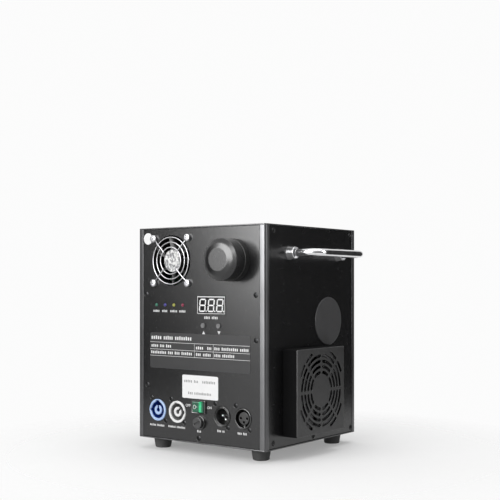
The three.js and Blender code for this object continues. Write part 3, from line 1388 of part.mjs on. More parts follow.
// Controls
addPiece(controlFace, "control_board", controlBoard(), finishes.board);
addPiece(controlFace, "display", display(), finishes.displayGlass);
addPiece(controlFace, "button_up", pushButton(-1), finishes.greyPlastic);
addPiece(controlFace, "button_down", pushButton(1), finishes.greyPlastic);
["green", "blue", "yellow", "red"].forEach((colour, index) => {
  addPiece(controlFace, `lamp_${colour}`, lamp(index), finishes[`${colour}Lamp`]);
});

// Sockets, switch and fuse
addPiece(controlFace, "power_in_socket", powerSocket(POWER_IN_U, Math.PI / 2), finishes.bluePlastic);
addPiece(controlFace, "power_out_socket", powerSocket(POWER_OUT_U, Math.PI / 4), finishes.whitePlastic);
addPiece(controlFace, "data_in_socket", dataInSocket(), finishes.blackPlastic);
addPiece(controlFace, "data_out_socket", dataOutSocket(), finishes.blackPlastic);
addPiece(controlFace, "switch_body", switchBody(), finishes.blackPlastic);
addPiece(controlFace, "switch_rocker", switchRocker(), finishes.greenLamp);
addPiece(controlFace, "fuse_holder", fuseHolder(), finishes.blackPlastic);
addPiece(controlFace, "fuse_cap", fuseCap(), finishes.greyPlastic);
addPiece(controlFace, "glass_fuse", glassFuse(), finishes.glass);

// Electronics
addPiece(machine, "power_supply", powerSupply(), finishes.steel);
addPiece(plainFace, "driver_board", driverBoard(), finishes.board);

// The origin is the middle of the machine's box, on the floor under its feet
const farthestX = PANEL_FACE_X + HANDLE_STANDOFF + HANDLE_BAR_RADIUS;
const farthestY = PANEL_FACE_Y + CAP_TOP_HEIGHT;
machine.position.set((HOUSING_WIDTH / 2 - farthestX) / 2, (farthestY - HOUSING_DEPTH / 2) / 2, FOOT_HEIGHT);

export default machine;
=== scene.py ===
"""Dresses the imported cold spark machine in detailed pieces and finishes, and sets up its studio."""

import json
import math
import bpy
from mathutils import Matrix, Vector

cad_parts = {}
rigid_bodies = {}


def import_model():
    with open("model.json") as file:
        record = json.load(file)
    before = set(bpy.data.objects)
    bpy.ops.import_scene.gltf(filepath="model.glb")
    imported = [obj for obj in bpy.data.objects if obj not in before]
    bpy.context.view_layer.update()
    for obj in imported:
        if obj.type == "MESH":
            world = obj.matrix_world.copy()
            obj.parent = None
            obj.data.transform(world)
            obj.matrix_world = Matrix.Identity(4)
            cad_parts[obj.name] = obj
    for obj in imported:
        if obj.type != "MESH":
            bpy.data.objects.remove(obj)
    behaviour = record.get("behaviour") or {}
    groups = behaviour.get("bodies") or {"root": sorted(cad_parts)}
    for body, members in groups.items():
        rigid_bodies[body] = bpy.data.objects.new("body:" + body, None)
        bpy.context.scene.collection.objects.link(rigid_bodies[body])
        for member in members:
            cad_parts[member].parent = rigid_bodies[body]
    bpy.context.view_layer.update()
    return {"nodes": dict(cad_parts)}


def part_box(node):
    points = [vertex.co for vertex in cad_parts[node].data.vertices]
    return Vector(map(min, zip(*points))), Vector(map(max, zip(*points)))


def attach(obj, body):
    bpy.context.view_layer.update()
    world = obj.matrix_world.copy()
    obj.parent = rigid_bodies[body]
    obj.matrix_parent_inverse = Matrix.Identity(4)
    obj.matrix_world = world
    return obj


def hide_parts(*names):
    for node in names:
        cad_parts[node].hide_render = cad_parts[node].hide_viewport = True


bl_info = {
    "name": "Cold Spark Machine",
    "version": (1, 0, 0),
    "blender": (4, 5, 0),
    "location": "View3D > Sidebar > Spark Machine",
    "description": "Detailed pieces, finishes and a plain studio for the packed cold spark machine",
    "category": "Object",
}

from types import SimpleNamespace

import bmesh
import bpy
import numpy as np
from bpy.props import FloatProperty, FloatVectorProperty, IntProperty, PointerProperty
from mathutils import Vector
from mathutils.geometry import delaunay_2d_cdt

for leftover in list(bpy.data.objects):
    bpy.data.objects.remove(leftover)
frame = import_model()

MM = 0.001
WELD = 1.5e-6
SHARP_ANGLE = math.radians(40)
FULL_TURN = 2 * math.pi
QUARTER_TURN = math.pi / 2

# Steps of round forms
EDGE_STEPS = 3
ARC_STEPS = 5
CAP_STEPS = 12
BEND_STEPS = 20
END_STEPS = 9
SLOT_STEPS = 13
WIRE_STEPS = 12
SMALL = 24
ROUND = 48
FINE = 96
SMOOTH = 128
NOTCH_STEPS = 192
DOT_STEPS = 16
ROCKER_STEPS = 17

# Lengths are in millimetres from here on. A support row beside an edge keeps the flat faces flat
SUPPORT = 0.35
FINE_EDGE = 0.2

# Housing construction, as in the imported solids
SHEET = 1.5
SEAT_GAP = 0.3
LAMP_GAP = 0.25
SCREW_GAP = 0.12
WINDOW_GAPS = {"display": (0.3, 0.3), "switch_body": (-0.7, -0.4)}
POST_FACE = 7.2
POST_WALL = 2.0
POST_FLANGE = 8.0
POST_END_EDGE = 0.15
RABBET = 2.2
LIP_END = 16.7
PANEL_CORNER = 0.5
HOUSING_TOP = 238.0

# Normals with less than this share along an axis count as an edge, or as a wall
EDGE_SHARE = 0.95
WALL_SHARE = 0.05

# Spark outlet and its pipe
OUTLET_HOLE = 16.1
OUTLET_BORE = 11.0
OUTLET_SEAT = 12.8
OUTLET_SPIGOT = 15.8
OUTLET_SHOULDER = 4.0
PIPE_RADIUS = 12.5

# Screws: crown and recess of a flush head and of a pan head, with the turns of their crosses
CROWN = 0.25
RECESS = 0.9
FIRST_TURN = 0.4
NEXT_TURN = 1.1
PAN_HEIGHT = 4.2
PAN_RECESS = 1.2
PAN_TURN = 0.5

# Fans: what both share, then what differs
FAN_CORNER = 4.0
FAN_EDGE = 0.7
STATOR_SETBACK = 0.8
STATOR_THICKNESS = 2.4
STRUT_WIDTH = 2.6
STRUT_EDGE = 0.4
BLADE_THICKNESS = 1.2
BLADE_CAMBER = 1.4
BLADE_ROOM = 1.6
TIP_GAP = 0.6
HUB_WALL = 1.6
SHAFT_RADIUS = 1.3
ROOT_PITCH, TIP_PITCH, MEAN_PITCH = (math.radians(angle) for angle in (48, 34, 38))
FAN_SCREWS = {
    "small": {"screw_spacing": 50.0, "screw_hole": 2.1},
    "large": {"screw_spacing": 71.5, "screw_hole": 2.2},
}

# Wire guard: where an arm bends and how far it drops there, its step over the rings, and its eyes
ARM_START = 0.6
ARM_BENDS = (20, 26, 28.5, 31)
ARM_DROP = 0.35
ARM_STEP = 1.7
EYE_RADIUS = 2.9
EYE_JOIN = 2.6

# Fan cover
COVER_MARGIN = 4.5
SLOT_RINGS = 5
SPOKES = 8
SLOT_EDGE = 0.25

# Granule filler
NECK_WALL = 3.0
THREAD_TURNS = 2.4
THREAD_PITCH = 4.0
THREAD_START = 1.8
THREAD_DEPTH = 0.35
THREAD_SECTION = [(-0.5, -0.8), (0.45, -0.15), (0.45, 0.15), (-0.5, 0.8)]
SHOULDER_RADIUS = 17.9
SHOULDER_DROP = 1.65

# Lamps, display and buttons: flanges by their back and front, arrows by place and the way they point
LAMP_COLOURS = ("green", "blue", "yellow", "red")
LAMP_FLANGE = (-2.8, -1.8)
LAMP_STAND = 0.1
BUTTONS = {"button_up": "up_button", "button_down": "down_button"}
BUTTON_FLANGE = (-3.0, -1.8)
BUTTON_DISH = 0.25
DISPLAY_CORNER = 0.5
FRAME_MARGIN = 0.2
FRAME_CORNER = 0.4
FRAME_LINE = 0.75
FRAME_TOP_LINE = 1.3
FIGURES = 3
FIGURE_HEIGHT = 14.4
FIGURE_WIDTH = 9.2
FIGURE_STROKE = 1.5
FIGURE_PITCH = 12.1
FIGURE_LEFT = 17.4
FIGURE_DROP = 0.3
FIGURE_LEAN = math.radians(6)
FIGURE_GAP = 0.18
DOT_RADIUS = 0.85
DOT_PLACE = (1.3, 0.9)
ARROWS = [(6.6, 121.6, 1), (28.1, 122.2, -1)]
ARROW = [(-2.1, -1.6), (2.1, -1.6), (0, 2.0)]

# Sockets: radii of the body, groove, core and hollow, and heights from the panel
SOCKET_RADII = {
    "power_in_socket": 12.2, "power_out_socket": 12.2, "data_in_socket": 10.9, "data_out_socket": 10.9,
}
SOCKET_FLOOR = -14.0
FLANGE_BACK = -3.5
FLANGE_CORNER = 3.0
SOCKET_BACK_EDGE = 0.4
GROOVE = 9.5
CORE = 5.4
CORE_OPENING = 2.4
CORE_STEP = -1.2
CORE_FRONT = -0.1
HOLLOW = 2.4
HOLLOW_GAP = 0.4
HOLLOW_FLOOR = -9.0
LIP_HEIGHT = 1.6
LIP_ROUNDING = 0.45
NOTCH_FADE = math.radians(4)

# Tint, the way the core opens and the key notches, as middle, half width and depth, with angles in degrees
POWER_SOCKETS = {
    "power_in_socket": ("blue", 90, [(90, 16, 1.3), (180, 9, 1.3)]),
    "power_out_socket": ("white", 45, [(105, 8, 1.0), (0, 10, 1.3)]),
}

# Data sockets: the latch and the key by half width, lower end and upper end
PIN_CIRCLE = 4.1
PIN_RADIUS = 1.2
PIN_HOLE = 1.35
PIN_FRONT = -5.5
PIN_TIP = -5.2
INLET_MOUTH = 8.5
INLET_MOUTH_FRONT = 0.55
INLET_RIM = (9.3, 10.05)
INLET_RIM_FLOOR = -1.0
OUTLET_MOUTH = 9.5
OUTLET_FACE = 6.75
OUTLET_FACE_FRONT = -1.2
LATCH = (2.2, 8.6, 10.4)
LATCH_CORNER = 0.4
LATCH_FRONT = 0.8
OUTLET_KEY = (1.0, -9.7, -6.4)
KEY_FRONT = -2.5

# Rocker switch: halves of the well and the shaft, the rocker's section, its lamp and its printed marks
WELL = (7.9, 6.0)
SHAFT = (9.2, 6.7)
WELL_FLOOR = -9.0
SHAFT_EDGE = 0.3
BEZEL_CORNER = 1.2
BEZEL_EDGE = 0.7
ROCKER_TILT = math.radians(8)
ROCKER_PIVOT = 1.5
ROCKER_END = 6.9
ROCKER_CROWN = 3.3
ROCKER_FOOT = (4.0, -5.0)
ROCKER_HALF = 5.7
ROCKER_EDGE = 0.5
ROCKER_CURVE = 1.15
ROCKER_LAMP = (2.6, 3.6)
RING_MARK = (4.6, 3.0, 0.5)
BAR_MARK = (2.0, -0.35, 3.2, 0.35)
MARK_PLACE = 4.6

# Fuse holder, its cap and the fuse
FUSE_HOLE = 6.3
FUSE_SPIGOT = 6.0
FUSE_FLANGE = 2.2
FUSE_BORE = 4.3
KNOB_SLEEVE = (2.9, 4.0)
COIN_SLOT = (9.0, 1.4)
COIN_TURN = math.radians(25)
COIN_DEPTH = 1.1
KNOB_EDGE = 0.6
GLASS_RADIUS = 2.45
FERRULE_BORE = 2.46
FERRULE_LENGTH = 5.0
FERRULE_END = 0.4
FUSE_EDGE = 0.1

# Handle and window
BAR_FOOT = 1.0
BOSS_RIM = 0.8
BOSS_SLOPE = 1.1
BOSS_DEPTH = 3.0
BOSS_FLOOR = 0.7
SPIGOT_STEP = 2.4

# Places of the small screws on each side, as (u, v) from the side's middle and the housing's bottom
CONTROL_SCREWS = [(77.4, 162.9), (-78.2, 163.2), (77.7, 115.5), (-76.6, 60.4), (-0.4, 6.2)]
HANDLE_SCREWS = [(-74.4, 231.6), (77.8, 231.9), (-75.3, 7.5), (79.6, 6.4), (0.7, 6.0)]
HIDDEN_SCREWS = [(-76, 231.6), (76, 231.6), (-76, 7), (76, 7), (0, 6.2)]
SOCKET_SCREWS = [
    (-69.8, 46.3), (-48.9, 21.2), (-40.7, 46.4), (-21.3, 21.3),
    (22.7, 45.6), (40.5, 21.0), (50.8, 45.5), (69.4, 21.1),
]

# Plate and stickers: left, bottom, right and top, or middle and radius
PLATE_OUTLINE = (-72.2, 80.0, 70.3, 120.0)
PLATE_CORNER = 2.5
PLATE_EDGE = 0.12
STICKER_OUTLINE = (-24, 49, 27, 74.6)
STICKER_CORNER = 1.8
ROUND_STICKER = (-75.5, 226, 6.5)
STICKER_THICKNESS = 0.14
STICKER_EDGE = 0.06

# Print: how deep it starts in what it lies on, and its height over the panel, the plate and a sticker
PRINT_SINK = 0.02
PRINT_HEIGHT = 0.06
PLATE_PRINT_HEIGHT = 0.05
STICKER_PRINT_HEIGHT = 0.03
PRINT_EDGE = 0.02
PRINT_CORNER = 0.3
SWITCH_WORDS = [("OFF", -15.6, 40.9), ("ON", 14.9, 40.4)]
SWITCH_WORD_HEIGHT = 2.9
LETTER_OFFSET = 0.05
PLATE_RULES = [
    (-71.8, 109.05, 70, 109.45), (-71.8, 101.05, 70, 101.45), (-71.8, 93.85, 70, 94.25),
    (-6.45, 94.0, -6.15, 109.2), (20.35, 94.0, 20.65, 109.2),
]

# Words shown as plain blocks, in rows of one middle height and block height: left and right end of each
PLATE_WORDS = [
    (114.2, 3.6, [(-70, -54), (-51.5, -37), (-34.5, -9.6)]),
    (105, 2.9, [(-70, -59), (-57, -50), (-48, -39.5)]),
    (104.6, 2.9, [(-4, 7), (12, 18.5), (22, 30), (32, 55), (57, 69)]),
    (97.6, 2.9, [(-70.5, -47), (-45, -37), (-35, -27), (-25, -9)]),
    (97.4, 2.9, [(-4, 3.5), (6, 17.5), (22, 31), (33, 50)]),
]
STICKER_WORDS = [
    (67.6, 2.6, [(-21, -9), (-7, -0.5), (5, 23.5)]),
    (54.6, 2.6, [(-15.5, -8), (-6.5, 18)]),
]
LEGEND_WORDS = [
    (144.3, 2.3, [(-67.3, -57.6), (-53.9, -45.9), (-41.8, -31.2), (-28.3, -19.0)]),
    (138.0, 2.7, [(7.6, 16.2), (18.2, 27.0)]),
    (15.3, 2.1, [(-72.4, -62.6), (-61.2, -50.3)]),
    (15.5, 2.1, [(-44.6, -33.4), (-32.2, -19.4)]),
    (13.6, 2.3, [(-2.6, 3.6)]),
    (16.5, 2.3, [(25.9, 31.6), (33.0, 36.2)]),
    (16.4, 2.3, [(53.6, 59.6), (61.0, 66.2)]),
]

# Studio, in metres: place, target, width and height of each lamp and each black card
STUDIO_TARGET = (-0.02, -0.08, 0.15)
SOFT_BOXES = {
    "key_soft_box": ((-0.19, -1.25, 0.6), STUDIO_TARGET, 1.35, 0.9),
    "key_gloss_box": ((-0.14, -1.2, 0.6), STUDIO_TARGET, 1.35, 0.9),
    "top_soft_box": ((0.15, 0.1, 1.5), STUDIO_TARGET, 1.0, 1.0),
    "rim_strip": ((1.0, 0.3, 0.56), (0.06, -0.07, 0.2), 0.2, 0.7),
}
DARK_CARDS = {
    "card_beside_handle": ((0.277, 0.332, 0.25), (-0.372, -0.431, 0.25), 0.333, 0.5),
    "card_beside_controls": ((-0.465, -0.285, 0.22), (0.343, 0.305, 0.22), 0.458, 0.44),
    "card_beside_camera": ((1.2, -0.42, 0.3), (0.0, 0.0, 0.3), 1.9, 0.8),
}
FLOOR_REACH = 6.0
FLOOR_STEPS = 25
FLOOR_FADE = (0.11, 0.37)
FLOOR_START_SHARE = 0.28
LENS_GLOW = 0.04


class Side:
    """One side of the machine: u to the right, v up and p outwards, in millimetres from its origin."""

    def __init__(self, right, up, out, origin):
        self.axes = np.array([right, up, out], float)
        self.origin = np.array(origin, float)

    def world(self, points):
        """Points in metres in the machine's frame: origin + u right + v up + p out."""
        return np.asarray(points, float) @ self.axes * MM + self.origin

    def span(self, node):
        """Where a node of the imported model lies, seen from this side."""
        corners = (np.array([list(corner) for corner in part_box(node)]) - self.origin) @ self.axes.T / MM
        low, high = corners.min(0), corners.max(0)
        u, v, _ = (low + high) / 2
        return SimpleNamespace(
            left=low[0], bottom=low[1], back=low[2], right=high[0], top=high[1], front=high[2],
            u=u, v=v, radius=(high[0] - low[0]) / 2, box=(low[0], low[1], high[0], high[1]),
        )


def side_of(node, right, up, out):
    """The side whose zero plane is the outer face of a panel, with v measured from the base plate."""
    low, high = (np.array(list(corner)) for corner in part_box(node))
    origin = np.where(np.array(out) > 0, high, low)
    middle = (low + high) / 2
    origin = np.where(np.array(out) == 0, middle, origin)
    origin[2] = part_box("base_plate")[0].z
    return Side(right, up, out, origin)


CONTROL = side_of("control_panel", (1, 0, 0), (0, 0, 1), (0, -1, 0))
HANDLE = side_of("handle_panel", (0, 1, 0), (0, 0, 1), (1, 0, 0))
PLAIN = side_of("plain_panel", (0, -1, 0), (0, 0, 1), (-1, 0, 0))
FAR = side_of("far_panel", (-1, 0, 0), (0, 0, 1), (0, 1, 0))
PLAN = Side((1, 0, 0), (0, 1, 0), (0, 0, 1), (CONTROL.origin[0], HANDLE.origin[1], CONTROL.origin[2]))


# Meshes in the making
def grid_faces(rows, columns, wrap_rows=False, wrap_columns=True):
    """Quads between neighbouring rows and columns of a grid whose index is row * columns + column."""
    row = np.arange(rows if wrap_rows else rows - 1)
    column = np.arange(columns if wrap_columns else columns - 1)
    row, column = (part.ravel() for part in np.meshgrid(row, column, indexing="ij"))
    next_row, next_column = (row + 1) % rows, (column + 1) % columns
    return np.stack([
        row * columns + column, row * columns + next_column,
        next_row * columns + next_column, next_row * columns + column,
    ], 1)


class Form:
    """Blocks of points with their faces, in one side's millimetres."""

    def __init__(self):
        self.points = []
        self.faces = []
        self.flat = []
        self.count = 0

    def add(self, points, faces, flat=False):
        """Adds a block whose faces count within its own points; flat faces keep their own normal."""
        block = np.asarray(points, float).reshape(-1, 3)
        self.points.append(block)
        self.faces.extend((np.asarray(faces) + self.count).tolist())
        self.flat.extend([flat] * len(faces))
        self.count += len(block)
        return self

    def merge(self, *others):
        """Adds other forms, each a closed shell of its own."""
        for other in others:
            start = self.count
            self.points.extend(other.points)
            self.faces.extend([[index + start for index in face] for face in other.faces])
            self.flat.extend(other.flat)
            self.count += other.count
        return self

    def walls(self, rows):
        """Joins loops of equal length, each given with its height, by quads."""
        grid = np.array([np.column_stack([loop, np.full(len(loop), height)]) for loop, height in rows])
        return self.add(grid, grid_faces(len(rows), grid.shape[1]))

    def cap(self, outer, holes, height):
        """Fills a flat outline less its holes at one height with triangles."""
        loops = [outer, *holes]
        starts = np.cumsum([0] + [len(loop) for loop in loops[:-1]])
        edges = np.concatenate([
            np.stack([start + np.arange(len(loop)), start + (np.arange(len(loop)) + 1) % len(loop)], 1)
            for start, loop in zip(starts, loops)
        ])
        corners = [Vector(point) for point in np.concatenate(loops).tolist()]
        found, _, triangles, *_ = delaunay_2d_cdt(corners, edges.tolist(), [], 1, 1e-7)
        flat = np.array([list(point) for point in found])
        triangles = np.array(triangles)
        centres = flat[triangles].mean(1)
        keep = np.ones(len(triangles), bool)
        for hole in holes:
            keep &= ~inside(centres, hole)
        return self.add(np.column_stack([flat, np.full(len(flat), height)]), triangles[keep], flat=True)

    def ends(self, grid):
        """Closes the first and the last row of a grid with a flat face each."""
        for row in (grid[0], grid[-1]):
            self.add(row, [list(range(len(row)))], flat=True)
        return self

    def turned_by(self, angle, u, v):
        """Turns everything about the line through (u, v) that points outwards."""
        cosine, sine = math.cos(angle), math.sin(angle)
        spin = np.array([[cosine, sine, 0], [-sine, cosine, 0], [0, 0, 1]])
        centre = np.array([u, v, 0])
        self.points = [(block - centre) @ spin + centre for block in self.points]
        return self

    def moved(self, u=0.0, v=0.0, p=0.0):
        """Shifts everything by (u, v, p)."""
        self.points = [block + np.array([u, v, p]) for block in self.points]
        return self


def inside(points, loop):
    """Whether each point lies within a closed loop: a ray to its right meets an odd number of edges."""
    start, end = loop, np.roll(loop, -1, 0)
    height = points[:, 1, None]
    meets = (start[None, :, 1] > height) != (end[None, :, 1] > height)
    rise = np.where(end[:, 1] == start[:, 1], 1, end[:, 1] - start[:, 1])
    across = start[:, 0] + (height - start[:, 1]) * (end[:, 0] - start[:, 0]) / rise
    return (meets & (points[:, 0, None] < across)).sum(1) % 2 == 1


# Outlines
def circle(u, v, radius, sides=FINE):
    """Points at (u + r cos a, v + r sin a)."""
    angle = np.arange(sides) / sides * FULL_TURN
    return np.column_stack([u + radius * np.cos(angle), v + radius * np.sin(angle)])


def rectangle(left, bottom, right, top):
    """The four corners of an upright rectangle, anticlockwise."""
    return np.array([(left, bottom), (right, bottom), (right, top), (left, top)], float)


def rounded(points, radii, closed=True, steps=ARC_STEPS):
    """A polyline whose corners are arcs of circles. Each arc is the rational quadratic curve
    ((1-t)² a + 2w t(1-t) c + t² b) / ((1-t)² + 2w t(1-t) + t²), where a and b are the points at which the
    circle touches the two edges of corner c, and w is the sine of half the corner's angle. A point a little
    before and after each arc keeps the shading of the straight parts flat."""
    points = np.asarray(points, float)
    radii = np.broadcast_to(radii, len(points))
    share = np.linspace(0, 1, steps + 1)[:, None]
    result = []
    for index, corner in enumerate(points):
        at_end = not closed and index in (0, len(points) - 1)
        if radii[index] == 0 or at_end:
            result.append(corner[None])
            continue
        edges = [points[index - 1] - corner, points[(index + 1) % len(points)] - corner]
        lengths = [np.linalg.norm(edge) for edge in edges]
        before, after = (edge / size for edge, size in zip(edges, lengths))
        half = math.acos(np.clip(before @ after, -1, 1)) / 2
        reach = radii[index] / math.tan(half)
        weight = math.sin(half)
        start, end = corner + before * reach, corner + after * reach
        blend = (1 - share) ** 2 * start + 2 * weight * share * (1 - share) * corner + share**2 * end
        arc = blend / ((1 - share) ** 2 + 2 * weight * share * (1 - share) + share**2)
        if reach + 2 * SUPPORT < lengths[0] / 2:
            result.append((start + before * SUPPORT)[None])
        result.append(arc)
        if reach + 2 * SUPPORT < lengths[1] / 2:
            result.append((end + after * SUPPORT)[None])
    return np.concatenate(result)


def box_outline(left, bottom, right, top, radius=0.0, steps=ARC_STEPS):
    """An upright rectangle with rounded corners."""
    return rounded(rectangle(left, bottom, right, top), radius, steps=steps)


def inset(loop, distance):
    """A closed loop moved inwards: each point goes along the mitre of its two edges' normals."""
    edge = np.roll(loop, -1, 0) - loop
    normal = np.column_stack([-edge[:, 1], edge[:, 0]]) / np.linalg.norm(edge, axis=1)[:, None]
    before = np.roll(normal, 1, 0)
    mitre = (before + normal) / (1 + (before * normal).sum(1))[:, None]
    return loop + mitre * distance


def ring_slot(u, v, radius, start, end, half):
    """A slot along a ring, with half-round ends: its two long sides are arcs at radius + half and
    radius - half."""
    lead = half / radius
    along = np.linspace(start + lead, end - lead, SLOT_STEPS)
    round_end = np.linspace(0, math.pi, END_STEPS)[1:-1]
    outer, inner = (
        np.column_stack([reach * np.cos(along), reach * np.sin(along)])
        for reach in (radius + half, radius - half)
    )
    ends = []
    for angle, turn in ((end - lead, 1), (start + lead, -1)):
        out = np.array([math.cos(angle), math.sin(angle)])
        around = np.array([-math.sin(angle), math.cos(angle)])
        sweep = turn * (np.cos(round_end)[:, None] * out + np.sin(round_end)[:, None] * around)
        ends.append(radius * out + half * sweep)
    return np.concatenate([outer, ends[0], inner[::-1], ends[1]]) + np.array([u, v])


def stadium(u, v, length, width, angle=0.0):
    """A straight slot with half-round ends."""
    half = width / 2
    reach = length / 2 - half
    turn = np.linspace(-QUARTER_TURN, QUARTER_TURN, END_STEPS)
    right = np.column_stack([reach + half * np.cos(turn), half * np.sin(turn)])
    loop = np.concatenate([right, -right])
    cosine, sine = math.cos(angle), math.sin(angle)
    return loop @ np.array([[cosine, sine], [-sine, cosine]]) + np.array([u, v])


def ring_path(u, v, radius, height, sides):
    """Points round a level circle, at (u + r cos a, v + r sin a, height)."""
    return np.column_stack([circle(u, v, radius, sides), np.full(sides, height)])


def quarter_round(loop, face, edge, side=1, outward=1, steps=EDGE_STEPS + 1):
    """Rows that turn a wall into a face: the loop moves in by e(1 - cos t) as the height nears the face by
    e sin t."""
    return [
        (inset(loop, side * edge * (1 - math.cos(angle))), face - outward * edge * (1 - math.sin(angle)))
        for angle in np.linspace(0, QUARTER_TURN, steps)
    ]


# Solid forms
def plate(outer, holes=(), back=0.0, front=1.0, edge=0.3, back_edge=0.0):
    """A flat slab between two heights: its outline less its holes, with a quarter round to each face."""
    form = Form()
    for loop, side in [(outer, 1)] + [(hole, -1) for hole in holes]:
        rows = quarter_round(loop, back, back_edge, side, outward=-1)[::-1] if back_edge else [(loop, back)]
        if front - back > 4 * (edge + back_edge + SUPPORT):
            rows += [(loop, back + back_edge + SUPPORT), (loop, front - edge - SUPPORT)]
        rows += quarter_round(loop, front, edge, side) if edge else [(loop, front)]
        form.walls(rows)
    form.cap(inset(outer, edge), [inset(hole, -edge) for hole in holes], front)
    form.cap(inset(outer, back_edge), [inset(hole, -back_edge) for hole in holes], back)
    return form


def turned(profile, sides=FINE, u=0.0, v=0.0):
    """A turned form: each (r, p) of the profile goes round the line through (u, v), to
    (u + r cos a, v + r sin a, p)."""
    profile = np.asarray(profile, float)
    angle = np.arange(sides) / sides * FULL_TURN
    radius, height = profile[:, 0, None], profile[:, 1, None]
    grid = np.stack([
        u + radius * np.cos(angle), v + radius * np.sin(angle), height + 0 * angle,
    ], -1)
    return Form().add(grid, grid_faces(len(profile), sides))


def lathed(corners, radii, span, sides=FINE, steps=ARC_STEPS):
    """A turned form round a node's middle line, from an open profile with rounded corners."""
    return turned(rounded(corners, radii, closed=False, steps=steps), sides, span.u, span.v)


def carried(section, path, across, closed=False):
    """A section carried along a path: a point (s, t) of the section stands at path + s n + t across, where
    n is the path's direction × across."""
    path = np.asarray(path, float)
    across = np.asarray(across, float)
    if closed:
        direction = np.roll(path, -1, 0) - np.roll(path, 1, 0)
    else:
        direction = np.gradient(path, axis=0)
    direction /= np.linalg.norm(direction, axis=1)[:, None]
    out = np.cross(direction, across)
    out /= np.linalg.norm(out, axis=1)[:, None]
    grid = path[:, None] + section[None, :, 0, None] * out[:, None] + section[None, :, 1, None] * across
    form = Form().add(grid, grid_faces(len(path), len(section), wrap_rows=closed))
    return form if closed else form.ends(grid)


def screw_head(u, v, radius, base, height, recess, turn):
    """A domed head with a cross recess, on a polar grid. Its height falls from the middle by a fifth of the
    radius times (r / radius)², with a quick roll at the rim. The recess goes down where the smaller of |x|
    and |y| is within an arm's half width and the larger is within its length, each with a soft step."""
    rings, roll_power = 22, 12
    soft_share, width_share, length_share = 0.12, 0.17, 0.62
    dome_share, roll_share = 0.2, 0.12
    share = np.linspace(0, 1, rings + 1)[:, None]
    angle = np.arange(ROUND) / ROUND * FULL_TURN
    distance = radius * share
    x, y = np.abs(distance * np.cos(angle - turn)), np.abs(distance * np.sin(angle - turn))
    soft = soft_share * radius
    arm = soft_step((width_share * radius - np.minimum(x, y)) / soft)
    arm *= soft_step((length_share * radius - np.maximum(x, y)) / soft)
    crown = height - radius * (dome_share * share**2 + roll_share * share**roll_power)
    top = np.stack([
        u + distance * np.cos(angle), v + distance * np.sin(angle), crown - recess * arm,
    ], -1)
    rim = top[-1].copy()
    rim[:, 2] = base
    grid = np.concatenate([top, rim[None], np.broadcast_to([u, v, base], (1, ROUND, 3))])
    return Form().add(grid, grid_faces(len(grid), ROUND))


def soft_step(value):
    """0 below -1/2, 1 above 1/2, and 3s² - 2s³ between, where s = value + 1/2."""
    share = np.clip(value + 0.5, 0, 1)
    return share * share * (3 - 2 * share)


def word(left, right, middle, height, base, thickness):
    """A word as a row of plain blocks, one for each letter, some of them taller."""
    pitch_share, width_share, low_share, tall_share = 0.86, 0.62, 0.5, 0.64
    count = max(2, round((right - left) / (height * pitch_share)))
    pitch = (right - left) / count
    bottom = middle - height * low_share
    form = Form()
    for index in range(count):
        start = left + index * pitch
        is_low = (index * 5 + count) % 3
        top = middle + height * (low_share if is_low else tall_share)
        outline = box_outline(start, bottom, start + pitch * width_share, top, PRINT_CORNER, steps=2)
        form.merge(plate(outline, back=base, front=base + thickness, edge=PRINT_EDGE))
    return form


def words(rows, base, thickness):
    """Words as blocks, row by row, each row with its middle height, its block height and its words."""
    form = Form()
    for middle, height, ends in rows:
        for left, right in ends:
            form.merge(word(left, right, middle, height, base, thickness))
    return form


def lettering(text, height, u, v, base, thickness):
    """Generic words in upright letters, centred at (u, v) on a plane."""
    size_share = 1.38
    curve = bpy.data.curves.new("words", "FONT")
    curve.body = text
    curve.size = height * size_share
    curve.extrude = thickness / 2
    curve.offset = LETTER_OFFSET
    curve.align_x, curve.align_y = "CENTER", "CENTER"
    holder = placed("words", curve)
    mesh = bpy.data.meshes.new_from_object(holder.evaluated_get(bpy.context.evaluated_depsgraph_get()))
    points = np.zeros(len(mesh.vertices) * 3)
    mesh.vertices.foreach_get("co", points)
    form = Form()
    form.points = [points.reshape(-1, 3) + np.array([u, v, base + thickness / 2])]
    form.count = len(mesh.vertices)
    form.faces = [list(polygon.vertices) for polygon in mesh.polygons]
    form.flat = [True] * len(form.faces)
    bpy.data.objects.remove(holder)
    bpy.data.curves.remove(curve)
    bpy.data.meshes.remove(mesh)
    return form


def placed(name, data):
    """A new object in the scene, at the origin."""
    made = bpy.data.objects.new(name, data)
    bpy.context.scene.collection.objects.link(made)
    return made


def add_piece(name, form, side, material, body="housing", replaces=()):
    """Makes the piece from its form, set in its place, rides it on its body and hides the imported parts that
    it replaces.
    """
    mesh = bpy.data.meshes.new(name)
    mesh.from_pydata(side.world(np.concatenate(form.points)).tolist(), [], form.faces)
    mesh.polygons.foreach_set("use_smooth", ~np.array(form.flat, bool))
    shell = bmesh.new()
    shell.from_mesh(mesh)
    bmesh.ops.remove_doubles(shell, verts=shell.verts, dist=WELD)
    bmesh.ops.dissolve_degenerate(shell, edges=shell.edges, dist=WELD)
    bmesh.ops.recalc_face_normals(shell, faces=shell.faces)
    shell.to_mesh(mesh)
    shell.free()
    smooth = np.zeros(len(mesh.polygons), bool)
    mesh.polygons.foreach_get("use_smooth", smooth)
    mesh.set_sharp_from_angle(angle=SHARP_ANGLE)
    mesh.polygons.foreach_set("use_smooth", smooth)
    mesh.materials.append(material)
    piece = placed(name, mesh)
    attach(piece, body)
    if replaces:
        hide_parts(*replaces)
    return piece


